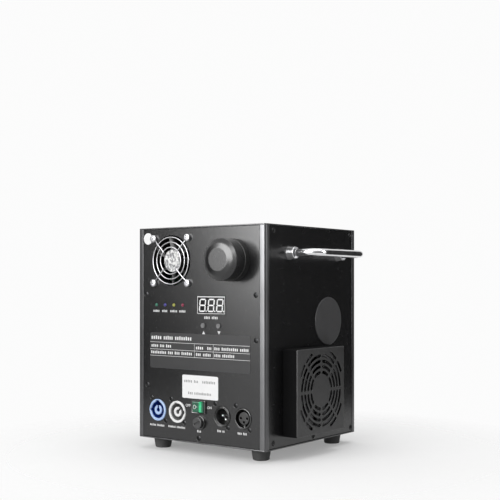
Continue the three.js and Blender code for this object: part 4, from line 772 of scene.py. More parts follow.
# Finishes
class NodeTree:
    """The nodes of a material or of the world."""

    def __init__(self, tree):
        self.nodes, self.links = tree.nodes, tree.links

    def node(self, kind, inputs=None, **settings):
        """Adds a node; an input takes either a number or another node's output."""
        made = self.nodes.new(kind)
        for key, value in settings.items():
            setattr(made, key, value)
        for key, value in (inputs or {}).items():
            self.put(made.inputs[key], value)
        return made

    def put(self, socket, value):
        """Links an output to a socket, or sets the socket's own value."""
        if isinstance(value, bpy.types.NodeSocket):
            self.links.new(value, socket)
        else:
            socket.default_value = value


class Finish(NodeTree):
    """A material whose patterns are read at Object coordinates, so that they stay on their piece."""

    def __init__(self, name):
        self.material = bpy.data.materials.new(name)
        self.material.use_nodes = True
        super().__init__(self.material.node_tree)
        self.shader = next(node for node in self.nodes if node.type == "BSDF_PRINCIPLED")
        self.place = self.node("ShaderNodeTexCoord").outputs["Object"]

    def set(self, **values):
        """Sets the shader's sockets; an underscore stands for a space."""
        for key, value in values.items():
            self.put(self.shader.inputs[key.replace("_", " ")], value)
        return self

    def noise(self, size, detail=3.0, stretch=(1, 1, 1), roughness=0.5):
        """Noise whose features are about size millimetres across, drawn out along an axis by its stretch."""
        scale = tuple(1 / (size * MM * part) for part in stretch)
        mapped = self.node("ShaderNodeMapping", {"Vector": self.place, "Scale": scale})
        noise = self.node("ShaderNodeTexNoise", {
            "Vector": mapped.outputs[0], "Scale": 1.0, "Detail": detail, "Roughness": roughness,
        })
        return noise.outputs[0]

    def spread(self, value, low, high, start=0.3, end=0.7):
        """Maps a pattern from start..end to low..high."""
        made = self.node("ShaderNodeMapRange", {
            "Value": value, "From Min": start, "From Max": end, "To Min": low, "To Max": high,
        })
        return made.outputs[0]

    def mix(self, share, first, second):
        """A colour between two others."""
        made = self.node("ShaderNodeMix", data_type="RGBA")
        self.put(made.inputs[0], share)
        for index, colour in ((6, first), (7, second)):
            self.put(made.inputs[index], colour)
        return made.outputs[2]

    def bump(self, height_pattern, height):
        """A bump of so many millimetres."""
        made = self.node("ShaderNodeBump", {
            "Height": height_pattern, "Distance": height * MM, "Strength": 1.0,
        })
        return made.outputs[0]


def opaque(colour, factor=1.0):
    """The colour with full alpha, made lighter or darker by a factor."""
    return tuple(min(1.0, part * factor) for part in colour[:3]) + (1.0,)


def grained(name, colour, roughness, grain=0.3, relief=0.003, cloud=18.0, shade=0.12, spread=0.06, **sockets):
    """A finish with a fine grain in its relief, cloudy changes of tone and gloss, and faint dry scuffs."""
    finish = Finish(name)
    cloud_pattern = finish.noise(cloud, detail=4.0)
    grain_pattern = finish.noise(grain, detail=2.0)
    scuffs = finish.noise(7.0, detail=6.0, stretch=(0.3, 1.4, 0.7), roughness=0.7)
    tone = finish.mix(
        finish.spread(cloud_pattern, 0.0, 1.0), opaque(colour, 1 - shade), opaque(colour, 1 + shade),
    )
    gloss = finish.spread(scuffs, roughness - spread, roughness + spread)
    return finish.set(
        Base_Color=tone, Roughness=gloss, Normal=finish.bump(grain_pattern, relief), **sockets,
    ).material


def brushed(name, colour, roughness, stretch=(1, 1, 1), line=0.5, relief=0.004, **sockets):
    """A metal finish with fine parallel lines, drawn out along one axis."""
    finish = Finish(name)
    lines = finish.noise(line, detail=3.0, stretch=stretch)
    cloud_pattern = finish.noise(14.0, detail=5.0)
    tone = finish.mix(finish.spread(cloud_pattern, 0.0, 1.0), opaque(colour, 0.86), opaque(colour, 1.06))
    gloss = finish.spread(lines, roughness - 0.07, roughness + 0.1)
    return finish.set(
        Base_Color=tone, Metallic=1.0, Roughness=gloss, Normal=finish.bump(lines, relief), **sockets,
    ).material


def board_finish(colours):
    """Green circuit board: lighter tracks in a square pattern over the solder mask."""
    finish = Finish("circuit_board")
    tinned = (0.5, 0.42, 0.2, 1)
    tracks = finish.node("ShaderNodeTexBrick", {
        "Vector": finish.place, "Scale": 90.0, "Mortar Size": 0.035,
        "Color1": opaque(colours.board, 0.9), "Color2": opaque(colours.board, 1.2),
        "Mortar": opaque(colours.board, 2.4),
    })
    pads = finish.noise(size=2.0, detail=1.0)
    return finish.set(
        Base_Color=finish.mix(finish.spread(pads, 0.0, 0.5, start=0.55, end=0.7), tracks.outputs[0], tinned),
        Roughness=finish.spread(pads, 0.35, 0.55),
        Normal=finish.bump(tracks.outputs[1], 0.03),
    ).material


def lamp_finish(name, colour, glow):
    """A moulded lens that glows faintly from within, more in its middle patches."""
    finish = Finish(name)
    swirl = finish.noise(size=1.2, detail=2.0)
    tone = finish.mix(finish.spread(swirl, 0, 1), opaque(colour, 0.75), opaque(colour, 1.2))
    return finish.set(
        Base_Color=tone, Roughness=finish.spread(swirl, 0.1, 0.2), Emission_Color=tone,
        Emission_Strength=glow, Specular_IOR_Level=0.35,
    ).material


def hub_label_finish():
    """A bare silver foil label with creased relief, and cloudy patches that change its reflections through
    its metal share and gloss. The crease pattern also mottles its base colour between a dull and a bright
    tone: a painted reflection of the creased foil.
    """
    finish = Finish("hub_label_foil")
    dull, bright = (0.14, 0.14, 0.15, 1), (0.62, 0.62, 0.61, 1)
    creases_and_painted_reflection = finish.noise(size=3.2, detail=5.0, roughness=0.7)
    patches = finish.noise(size=6.0, detail=2.0)
    # The base colour follows the crease pattern as painted reflection; the same pattern bumps the real
    # creases.
    return finish.set(
        Base_Color=finish.mix(finish.spread(creases_and_painted_reflection, 0, 1, start=0.44, end=0.56), dull, bright),
        Metallic=finish.spread(patches, 0.1, 0.35), Roughness=finish.spread(patches, 0.3, 0.5),
        Normal=finish.bump(creases_and_painted_reflection, 0.12),
    ).material


def rocker_finish(colours, centre, half_width):
    """Green see-through plastic with a lamp behind its right part: the glow falls off to both sides of the
    lamp."""
    finish = Finish("rocker_green_plastic")
    dim = opaque(colours.rocker_glow, 0.5)
    parts = finish.node("ShaderNodeSeparateXYZ", {"Vector": finish.place})
    offset = finish.node("ShaderNodeMath", {0: parts.outputs[0], 1: centre * MM}, operation="SUBTRACT")
    distance = finish.node("ShaderNodeMath", {0: offset.outputs[0]}, operation="ABSOLUTE")
    near = finish.node("ShaderNodeMapRange", {
        "Value": distance.outputs[0], "From Min": 0.0, "From Max": half_width * MM,
        "To Min": 1.0, "To Max": 0.0,
    }, interpolation_type="SMOOTHERSTEP").outputs[0]
    swirl = finish.noise(size=2.5, detail=2.0)
    glow = finish.node("ShaderNodeMath", {
        0: near, 1: finish.spread(swirl, 0.55, 0.95),
    }, operation="MULTIPLY").outputs[0]
    tone = finish.mix(finish.spread(swirl, 0, 1), opaque(colours.rocker, 0.8), opaque(colours.rocker, 1.2))
    return finish.set(
        Base_Color=tone, Roughness=finish.spread(swirl, 0.12, 0.22), Coat_Weight=0.4,
        Emission_Color=finish.mix(near, dim, opaque(colours.rocker_glow)), Emission_Strength=glow,
    ).material


def make_finishes(colours):
    """Every finish of the machine, by name."""
    lenses = {
        tint: lamp_finish(f"lamp_{tint}_lens", getattr(colours, tint), LENS_GLOW) for tint in LAMP_COLOURS
    }
    return SimpleNamespace(
        paint=grained(
            "black_powder_coat", colours.paint, 0.25, grain=0.6, relief=0.0002, shade=0.15, spread=0.03,
            Specular_IOR_Level=0.6,
        ),
        cover=grained("black_cover_coat", colours.cover, 0.5, grain=0.5, Specular_IOR_Level=0.8),
        # A shaded copy of the cover coat for the cover's side walls: its reflection is turned down so that
        # they render darker, as painted shade.
        cover_side=grained("black_cover_side", colours.cover, 0.85, grain=0.5, Specular_IOR_Level=0.05),
        post=grained(
            "black_anodised", colours.post, 0.33, grain=0.8, relief=0.0004, cloud=30, spread=0.03,
            Metallic=0.85,
        ),
        edge=grained(
            "bright_sheet_edge", colours.edge, 0.3, grain=0.8, relief=0.0006, cloud=12, spread=0.05,
            Metallic=0.9,
        ),
        rubber=grained("foot_rubber", colours.rubber, 0.72, grain=0.6, relief=0.03, cloud=8, shade=0.25),
        plastic=grained("black_plastic", colours.plastic, 0.42, grain=0.35, relief=0.01),
        fan_plastic=grained("grey_fan_plastic", colours.fan_plastic, 0.4, grain=0.35, relief=0.01),
        collar=grained("black_collar_plastic", colours.plastic, 0.5, grain=0.35, relief=0.01),
        cap=grained(
            "cap_plastic", colours.cap, 0.29, grain=0.4, relief=0.001, spread=0.03, Specular_IOR_Level=0.54,
        ),
        button=grained("button_plastic", colours.button, 0.4, grain=0.25, cloud=3),
        fuse=grained("fuse_cap_plastic", colours.fuse, 0.36, relief=0.004, cloud=5, Specular_IOR_Level=0.5),
        window=grained(
            "window_plastic", colours.window, 0.5, relief=0.006, cloud=22, shade=0.1,
            Specular_IOR_Level=0.45,
        ),
        socket=grained(
            "socket_black_plastic", colours.plastic, 0.2, relief=0.001, cloud=6, Specular_IOR_Level=1.0,
        ),
        # Lit and shaded copies of the socket plastics: the blue face finish carries a painted highlight, and
        # both inside finishes carry painted shade.
        blue_face=grained("blue_face_plastic", colours.blue_face, 0.3, relief=0.004, cloud=4),
        blue_deep=grained("blue_deep_plastic", colours.blue_deep, 0.35, relief=0.004, cloud=4),
        white_face=grained(
            "white_face_plastic", colours.white_face, 0.35, relief=0.004, cloud=4, shade=0.05,
        ),
        white_deep=grained("white_deep_plastic", colours.white_deep, 0.4, relief=0.004, cloud=4),
        chrome=brushed("bright_chrome", colours.chrome, 0.13, line=1.4, relief=0.0006),
        guard=brushed("plated_wire", colours.wire, 0.34, line=0.8, relief=0.001),
        pin=brushed("contact_pins", colours.chrome, 0.2, line=0.4, relief=0.001),
        steel=brushed("bare_steel", colours.steel, 0.3, stretch=(1, 1, 12), line=0.25),
        ring=brushed("outlet_steel", colours.steel, 0.42, stretch=(14, 1, 1), line=0.3),
        motor=brushed("motor_steel", colours.steel, 0.36, stretch=(1, 6, 1)),
        screw=brushed("black_screw_steel", colours.screw, 0.34, relief=0.003),
        ceramic=grained("heater_ceramic", colours.ceramic, 0.8, grain=0.7, relief=0.05, cloud=5, shade=0.1),
        seal=grained("seal_rubber", colours.rubber, 0.8, grain=0.5, relief=0.02, cloud=6),
        board=board_finish(colours),
        display=grained(
            "display_window", colours.display, 0.14, grain=0.6, relief=0.001, cloud=10, spread=0.03,
            Coat_Weight=0.5,
        ),
        ink=grained("white_print", colours.ink, 0.5, grain=0.25, cloud=5, shade=0.05),
        grey_ink=grained("grey_print", colours.grey_ink, 0.55, grain=0.25, cloud=5),
        paper=grained("sticker_paper", colours.paper, 0.48, grain=0.35, cloud=9, shade=0.03),
        data_plate=grained(
            "data_plate_coat", colours.data_plate, 0.42, grain=0.4, cloud=25, Specular_IOR_Level=0.35,
        ),
        digit=lamp_finish("display_digits", colours.ink, glow=0.3),
        hub_label=hub_label_finish(),
        glass=grained(
            "fuse_glass", colours.glass, 0.08, grain=0.8, relief=0.001, cloud=6, spread=0.03,
            Transmission_Weight=0.85, IOR=1.45,
        ),
        **lenses,
    )


FINISHES = {}


def finishes():
    """The finishes, made once from the colours of this scene."""
    if "all" not in FINISHES:
        FINISHES["all"] = make_finishes(bpy.context.scene.spark_machine.colours)
    return FINISHES["all"]


# Housing
def sheet_with_lips(node, sizes, hole=None, lips_up=True):
    """A square sheet with rounded corners and four turned lips that stand inside the panels."""
    span = PLAN.span(node)
    flat_back = span.back if lips_up else span.front - SHEET
    outline = box_outline(*span.box, sizes.corner)
    holes = [] if hole is None else [hole]
    form = plate(outline, holes, flat_back, flat_back + SHEET, sizes.sheet_edge, sizes.sheet_edge)
    low, high = (span.back + SHEET, span.front) if lips_up else (span.back, span.front - SHEET)
    outside, end = span.radius - RABBET, span.radius - LIP_END
    for turn in range(4):
        lip = plate(rectangle(-end, -outside, end, SHEET - outside), back=low, front=high, edge=FINE_EDGE)
        form.merge(lip.turned_by(turn * QUARTER_TURN, 0, 0))
    return form


def post_form(node, sizes):
    """A corner post: an angle with a rounded outer corner, stepped back where the panels lie."""
    span = PLAN.span(node)
    end = POST_FACE + POST_FLANGE
    wall = RABBET + POST_WALL
    corners = [
        (POST_FACE, 0), (POST_FACE, RABBET), (end, RABBET), (end, wall), (wall, wall),
        (wall, end), (RABBET, end), (RABBET, POST_FACE), (0, POST_FACE), (0, 0),
    ]
    outline = rounded(corners, [sizes.post_edge, 0, 0, 0, 0, 0, 0, 0, sizes.post_edge, sizes.corner])
    side_u, side_v = np.sign(span.u), np.sign(span.v)
    outer = np.array([
        span.right if side_u > 0 else -span.left, span.top if side_v > 0 else -span.bottom,
    ])
    outline = (outer - outline) * np.array([side_u, side_v])
    if side_u * side_v < 0:
        outline = outline[::-1]
    return plate(outline, (), span.back, span.front, POST_END_EDGE, POST_END_EDGE)


def panel_form(side, node, sizes, holes, screws):
    """A flat panel with its holes, each screw standing in a hole of its own."""
    span = side.span(node)
    seats = [circle(u, v, radius + SCREW_GAP, SMALL) for u, v, radius in screws]
    outline = box_outline(*span.box, PANEL_CORNER)
    return plate(outline, [*holes, *seats], span.back, span.front, sizes.panel_edge)


def flush_screws(screws):
    """Black countersunk screws, their heads level with the panel, each turned its own way."""
    form = Form()
    for index, (u, v, radius) in enumerate(screws):
        form.merge(screw_head(u, v, radius, -SHEET, CROWN, RECESS, FIRST_TURN + NEXT_TURN * index))
    return form


def coat_edges(piece, material, axis, limit):
    """Gives a second finish to the faces whose normal has less than a limit along one axis."""
    piece.data.materials.append(material)
    normals = np.zeros(len(piece.data.polygons) * 3)
    piece.data.polygons.foreach_get("normal", normals)
    turned_away = np.abs(normals.reshape(-1, 3)[:, axis]) < limit
    piece.data.polygons.foreach_set("material_index", turned_away.astype(np.int32))


def control_holes(sizes, controls):
    """The control panel's holes, each from the piece that passes through."""
    round_holes = [
        ("panel_fan_frame", sizes.small_fan_opening, FINE), ("fuse_cap", FUSE_HOLE, ROUND),
        ("filler_neck", controls.neck_radius + SEAT_GAP, FINE),
    ]
    round_holes += [(node, radius + SEAT_GAP, FINE) for node, radius in SOCKET_RADII.items()]
    round_holes += [(f"lamp_{colour}", controls.lamp_radius + LAMP_GAP, SMALL) for colour in LAMP_COLOURS]
    round_holes += [(node, controls.button_radius + SEAT_GAP, SMALL) for node in BUTTONS]
    holes = []
    for node, radius, sides in round_holes:
        span = CONTROL.span(node)
        holes.append(circle(span.u, span.v, radius, sides))
    for node, (gap_u, gap_v) in WINDOW_GAPS.items():
        span = CONTROL.span(node)
        holes.append(rectangle(span.left - gap_u, span.bottom - gap_v, span.right + gap_u, span.top + gap_v))
    return holes


def build_housing(sizes, controls, look):
    """Base and top sheets, corner posts, the four panels, their screws and the feet."""
    base = sheet_with_lips("base_plate", sizes)
    top = sheet_with_lips("top_plate", sizes, circle(0, 0, OUTLET_HOLE), lips_up=False)
    for name, form in (("base", base), ("top", top)):
        sheet = add_piece(
            f"{name}_sheet", form, PLAN, look.paint, replaces=[f"{name}_plate"],
        )
        coat_edges(sheet, look.edge, axis=2, limit=EDGE_SHARE)
    for corner in ("control_left", "control_right", "far_left", "far_right"):
        post, foot = f"post_{corner}", f"foot_{corner}"
        add_piece(
            f"corner_{corner}", post_form(post, sizes), PLAN, look.post, replaces=[post],
        )
        span = PLAN.span(foot)
        cone = [(0, span.back), (sizes.foot_bottom, span.back), (span.radius, span.front), (0, span.front)]
        add_piece(
            f"rubber_{foot}", lathed(cone, [0, 1.5, 0.4, 0], span), PLAN, look.rubber,
            replaces=[foot],
        )
    side_fan, window = HANDLE.span("side_fan_frame"), HANDLE.span("reader_window")
    handle_holes = [
        circle(side_fan.u, side_fan.v, sizes.large_fan_opening),
        circle(window.u, window.v, window.radius - SPIGOT_STEP + SEAT_GAP),
    ]
    panels = [
        (CONTROL, "control_panel", control_holes(sizes, controls), CONTROL_SCREWS, SOCKET_SCREWS),
        (HANDLE, "handle_panel", handle_holes, HANDLE_SCREWS, []),
        (PLAIN, "plain_panel", [], HIDDEN_SCREWS, []),
        (FAR, "far_panel", [], HIDDEN_SCREWS, []),
    ]
    for side, node, holes, large, small in panels:
        screws = [(u, v, sizes.screw_radius) for u, v in large]
        screws += [(u, v, sizes.socket_screw) for u, v in small]
        form = panel_form(side, node, sizes, holes, screws)
        add_piece(f"{node}_sheet", form, side, look.paint, replaces=[node])
        add_piece(f"{node}_screws", flush_screws(screws), side, look.screw)


def build_outlet(look):
    """The spark outlet: a flanged ring let into the top sheet, over the end of the spark tube."""
    ring, tube = PLAN.span("outlet_ring"), PLAN.span("spark_tube")
    shoulder = ring.front - OUTLET_SHOULDER
    corners = [
        (OUTLET_BORE, shoulder), (OUTLET_SEAT, shoulder), (OUTLET_SEAT, ring.back),
        (OUTLET_SPIGOT, ring.back), (OUTLET_SPIGOT, HOUSING_TOP), (ring.radius, HOUSING_TOP),
        (ring.radius, ring.front), (OUTLET_BORE, ring.front), (OUTLET_BORE, shoulder),
    ]
    profile = rounded(corners, [0, 0, 0, 0.4, 0, 0, 0.5, 0.8, 0], closed=False)
    add_piece("outlet_flange", turned(profile), PLAN, look.ring, replaces=["outlet_ring"])
    pipe, bore = circle(0, 0, PIPE_RADIUS), circle(0, 0, OUTLET_BORE)
    wall = plate(pipe, [bore], tube.back, tube.front, FINE_EDGE, FINE_EDGE)
    add_piece("spark_pipe", wall, PLAN, look.steel, replaces=["spark_tube"])


# Fans
def fan_frame_form(span, fan):
    """A square frame with a round bore and four screw holes, its motor plate held by three struts."""
    hub_overlap, strut_inset = 1.0, 0.3
    half = fan.screw_spacing / 2
    holes = [circle(span.u, span.v, fan.bore)]
    holes += [
        circle(span.u + x * half, span.v + y * half, fan.screw_hole, SMALL) for x in (-1, 1) for y in (-1, 1)
    ]
    outline = box_outline(*span.box, FAN_CORNER)
    form = plate(outline, holes, span.back, span.front, FAN_EDGE, FAN_EDGE)
    front = span.front - STATOR_SETBACK
    back = front - STATOR_THICKNESS
    hub = [(0, back), (fan.hub, back), (fan.hub, front), (0, front)]
    form.merge(lathed(hub, [0, 0.3, 0.5, 0], span))
    strut = box_outline(
        span.u + fan.hub - hub_overlap, span.v - STRUT_WIDTH / 2,
        span.u + fan.bore + hub_overlap, span.v + STRUT_WIDTH / 2,
    )
    for index in range(3):
        bridge = plate(strut, (), back + strut_inset, front - strut_inset, STRUT_EDGE, STRUT_EDGE)
        form.merge(bridge.turned_by(index / 3 * FULL_TURN - QUARTER_TURN, span.u, span.v))
    return form


def fan_rotor_form(span, fan):
    """A hub cup with curved blades. Along a blade the pitch angle falls evenly from root to tip; across it
    the section is a thin cambered leaf, t = h (1 - (2x)²)^(1/2) about the line c (1 - (2x)²), laid round the
    shaft by its arc."""
    front, back = span.front, span.back
    stations, sides = 9, 24
    tip_clearance, shaft_inset = 0.1, 1.0
    cup = [
        (0, back), (fan.hub, back), (fan.hub, front), (fan.hub - HUB_WALL, front),
        (fan.hub - HUB_WALL, back + HUB_WALL), (0, back + HUB_WALL),
    ]
    form = Form().merge(lathed(cup, [0, 0.8, 0.2, 0.2, 0.4, 0], span))
    along = np.linspace(0, 1, stations)[:, None]
    loop = np.arange(sides) / sides * FULL_TURN
    x = 0.5 * np.cos(loop)[None]
    leaf = BLADE_THICKNESS / 2 * np.sin(loop)[None] + BLADE_CAMBER * (1 - (2 * x) ** 2)
    root = fan.hub - HUB_WALL / 2
    radius = root + (fan.tip - root) * along
    pitch = ROOT_PITCH + (TIP_PITCH - ROOT_PITCH) * along
    chord = (front - back - BLADE_THICKNESS - BLADE_ROOM) / math.cos(MEAN_PITCH)
    axial = chord * x * np.cos(pitch) + leaf * np.sin(pitch)
    axial = np.clip(axial, (back - front) / 2 + tip_clearance, (front - back) / 2 - tip_clearance)
    around = chord * x * np.sin(pitch) - leaf * np.cos(pitch)
    for index in range(fan.blades):
        angle = index / fan.blades * FULL_TURN + around / radius
        grid = np.stack([
            span.u + radius * np.cos(angle), span.v + radius * np.sin(angle), (front + back) / 2 + axial,
        ], -1)
        form.add(grid, grid_faces(stations, sides)).ends(grid)
    low, high = back + shaft_inset, front - shaft_inset
    shaft = [(0, low), (SHAFT_RADIUS, low), (SHAFT_RADIUS, high), (0, high)]
    return form.merge(turned(shaft, SMALL, span.u, span.v))


def fan_measures(sizes, kind):
    """The measures of the small or the large fan."""
    bore, hub = getattr(sizes, f"{kind}_bore"), getattr(sizes, f"{kind}_hub")
    return SimpleNamespace(bore=bore, hub=hub, tip=bore - TIP_GAP, blades=sizes.blades, **FAN_SCREWS[kind])


def add_fan(kind, node, side, sizes, material):
    """A fan's housing, and its blades about the middle of the housing."""
    fan, span, rotor = fan_measures(sizes, kind), side.span(f"{node}_frame"), side.span(f"{node}_rotor")
    rotor.u, rotor.v = span.u, span.v
    add_piece(
        f"{kind}_fan_housing", fan_frame_form(span, fan), side, material,
        replaces=[f"{node}_frame"],
    )
    add_piece(
        f"{kind}_fan_blades", fan_rotor_form(rotor, fan), side, material, body=f"{kind}_rotor",
        replaces=[f"{node}_rotor"],
    )
    return span, fan


def wire_guard_form(span, fan, sizes):
    """The wire guard: three rings, and four arms over them that bend down to the eyes round the screws."""
    wire = sizes.wire / 2
    section = circle(0, 0, wire, WIRE_STEPS)
    ring_plane = SEAT_GAP + wire
    arm_plane = ring_plane + ARM_STEP * wire
    corner = fan.screw_spacing / 2 * math.sqrt(2)
    reach = np.array([sizes.arm_end, sizes.arm_end + ARM_START, *ARM_BENDS, corner - EYE_JOIN])
    height = np.array([arm_plane] * 4 + [arm_plane - ARM_DROP, ring_plane + ARM_DROP, ring_plane])
    guard = Form()
    for radius in (sizes.outer_ring, sizes.middle_ring, sizes.inner_ring):
        path = ring_path(span.u, span.v, radius, ring_plane, FINE)
        guard.merge(carried(section, path, (0, 0, 1), closed=True))
    for index in range(4):
        direction = (index + 0.5) * QUARTER_TURN
        cosine, sine = math.cos(direction), math.sin(direction)
        path = np.column_stack([span.u + reach * cosine, span.v + reach * sine, height])
        eye = ring_path(span.u + corner * cosine, span.v + corner * sine, EYE_RADIUS, ring_plane, ROUND)
        guard.merge(carried(section, path, (-sine, cosine, 0)), carried(section, eye, (0, 0, 1), closed=True))
    return guard


def build_panel_fan(sizes, look):
    """The small fan with its foil label, chromed wire guard and four screws."""
    label_margin, label_sink, label_thickness, label_edge = 0.5, 0.05, 0.12, 0.06
    span, fan = add_fan("small", "panel_fan", CONTROL, sizes, look.plastic)
    base = span.front - STATOR_SETBACK
    disc = circle(span.u, span.v, fan.hub - label_margin)
    label = plate(disc, back=base - label_sink, front=base + label_thickness, edge=label_edge)
    add_piece("small_fan_label", label, CONTROL, look.hub_label)
    add_piece(
        "fan_wire_guard", wire_guard_form(span, fan, sizes), CONTROL, look.guard,
        replaces=["fan_guard"],
    )
    heads = Form()
    half = fan.screw_spacing / 2
    for x in (-1, 1):
        for y in (-1, 1):
            u, v, turn = span.u + x * half, span.v + y * half, PAN_TURN + x + FIRST_TURN * y
            heads.merge(screw_head(u, v, sizes.guard_screw, 0.0, PAN_HEIGHT, PAN_RECESS, turn))
    add_piece("fan_guard_screws", heads, CONTROL, look.steel)


def build_filler(sizes, look):
    """The granule filler: neck with collar and thread, sealing disc and screw cap."""
    neck, cap, liner = (CONTROL.span(node) for node in ("filler_neck", "filler_cap", "cap_liner"))
    thread_steps, thread_fade = 160, 0.6
    outer, bore = sizes.neck_radius, sizes.neck_radius - NECK_WALL
    collar_top = cap.back - SEAT_GAP
    form = lathed([
        (bore, neck.back), (outer, neck.back), (outer, 0), (neck.radius, 0), (neck.radius, collar_top),
        (outer, collar_top), (outer, neck.front), (bore, neck.front), (bore, neck.back),
    ], [0, 0.3, 0, 0, 0.5, 0, 0.5, 0.5, 0], neck)
    angle = np.linspace(0, THREAD_TURNS * FULL_TURN, thread_steps)
    fade = np.minimum(1, np.minimum(angle, angle[-1] - angle) / thread_fade)
    radius = outer - THREAD_DEPTH * (1 - fade)
    path = np.column_stack([
        neck.u + radius * np.cos(angle), neck.v + radius * np.sin(angle),
        collar_top + THREAD_START + THREAD_PITCH * angle / FULL_TURN,
    ])
    form.merge(carried(np.array(THREAD_SECTION), path, (0, 0, 1)))
    add_piece("filler_spout", form, CONTROL, look.collar, replaces=["filler_neck"])
    disc = plate(circle(liner.u, liner.v, liner.radius), (), liner.back, liner.front, FINE_EDGE, FINE_EDGE)
    add_piece(
        "cap_seal", disc, CONTROL, look.seal, body="cap_lift", replaces=["cap_liner"],
    )
    inside_top = liner.front + SEAT_GAP
    inner = outer + 2 * SEAT_GAP
    lid = lathed([
        (inner, cap.back), (cap.radius, cap.back), (cap.radius, sizes.cap_rim),
        (SHOULDER_RADIUS, cap.front - SHOULDER_DROP), (sizes.cap_flat, cap.front), (0, cap.front),
        (0, inside_top), (inner, inside_top), (inner, cap.back),
    ], [0, 0.3, 0.9, 10.0, 6.0, 0, 0, 0.4, 0], cap, SMOOTH, CAP_STEPS)
    add_piece("filler_lid", lid, CONTROL, look.cap, body="cap", replaces=["filler_cap"])


# Controls
def digit_form(left, bottom, base):
    """One figure eight of seven bars with pointed ends, leaning by u + v tan(lean)."""
    half, middle = FIGURE_STROKE / 2, FIGURE_HEIGHT / 2
    far = FIGURE_WIDTH - half
    bars = [(half, y, far - half, False) for y in (half, middle, FIGURE_HEIGHT - half)]
    bars += [(x, y, middle - half, True) for x in (half, far) for y in (half, middle)]
    form = Form()
    for x, y, reach, upright in bars:
        end = reach - 2 * FIGURE_GAP
        bar = np.array([
            (0, 0), (half, -half), (end - half, -half), (end, 0), (end - half, half), (half, half),
        ])
        bar[:, 0] += FIGURE_GAP
        outline = (bar[:, ::-1] * [-1, 1] if upright else bar) + [x, y]
        outline[:, 0] += outline[:, 1] * math.tan(FIGURE_LEAN)
        form.merge(plate(outline + [left, bottom], (), base, base + PRINT_HEIGHT, 0.0))
    return form


def display_figures(span):
    """Three figure eights, each with a dot at its lower right."""
    bottom = span.v - FIGURE_HEIGHT / 2 - FIGURE_DROP
    dot_u, dot_v = DOT_PLACE
    form = Form()
    for index in range(FIGURES):
        left = span.u - FIGURE_LEFT + index * FIGURE_PITCH
        dot = circle(left + FIGURE_WIDTH + dot_u, bottom + dot_v, DOT_RADIUS, DOT_STEPS)
        form.merge(digit_form(left, bottom, span.front))
        form.merge(plate(dot, (), span.front, span.front + PRINT_HEIGHT, 0.0))
    return form


def lamp_form(span, radius):
    """A lamp's lens: a stem with a flange behind the panel, and a domed front."""
    flange_back, flange_front = LAMP_FLANGE
    stem = [
        (0, span.back), (radius, span.back), (radius, flange_back), (span.radius, flange_back),
        (span.radius, flange_front), (radius, flange_front), (radius, LAMP_STAND),
    ]
    turn = np.linspace(0, QUARTER_TURN, END_STEPS)[1:]
    dome = np.column_stack([radius * np.cos(turn), LAMP_STAND + (span.front - LAMP_STAND) * np.sin(turn)])
    return turned(np.concatenate([stem, dome]), ROUND, span.u, span.v)


def button_form(span, radius):
    """A push button: a stem with a flange behind the panel, and a slightly dished face."""
    flange_back, flange_front = BUTTON_FLANGE
    return lathed([
        (0, span.back), (radius, span.back), (radius, flange_back), (span.radius, flange_back),
        (span.radius, flange_front), (radius, flange_front), (radius, span.front),
        (0, span.front - BUTTON_DISH),
    ], [0, 0, 0, 0, 0, 0, 0.55, 0], span, ROUND)


def build_controls(sizes, look):
    """Indicator lamps, the three-figure display and the two push buttons with their arrows."""
    for tint in LAMP_COLOURS:
        node = f"lamp_{tint}"
        add_piece(
            f"{node}_lens", lamp_form(CONTROL.span(node), sizes.lamp_radius), CONTROL, getattr(look, tint),
            replaces=[node],
        )
    span = CONTROL.span("display")
    left, bottom, right, top = span.box
    outline = box_outline(left, bottom, right, top, DISPLAY_CORNER)
    body = plate(outline, (), span.back, span.front, FINE_EDGE)
    add_piece("display_block", body, CONTROL, look.display, replaces=["display"])
    margin, line = FRAME_MARGIN, FRAME_LINE
    outer = box_outline(left + margin, bottom + margin, right - margin, top - margin, FRAME_CORNER)
    inner = rectangle(left + line, bottom + line, right - line, top - FRAME_TOP_LINE)
    frame_line = plate(outer, [inner], span.front - PRINT_SINK, span.front + PLATE_PRINT_HEIGHT, PRINT_EDGE)
    add_piece("display_frame_line", frame_line, CONTROL, look.ink)
    add_piece("display_figures", display_figures(span), CONTROL, look.digit)
    for node, body_name in BUTTONS.items():
        add_piece(
            f"{node}_key", button_form(CONTROL.span(node), sizes.button_radius), CONTROL, look.button,
            body=body_name, replaces=[node],
        )
    arrows = Form()
    for u, v, tip in ARROWS:
        outline = (np.array(ARROW) * [1, tip])[::tip] + [u, v]
        arrows.merge(plate(outline, (), -PRINT_SINK, PRINT_HEIGHT, PRINT_EDGE))
    add_piece("button_arrows", arrows, CONTROL, look.ink)


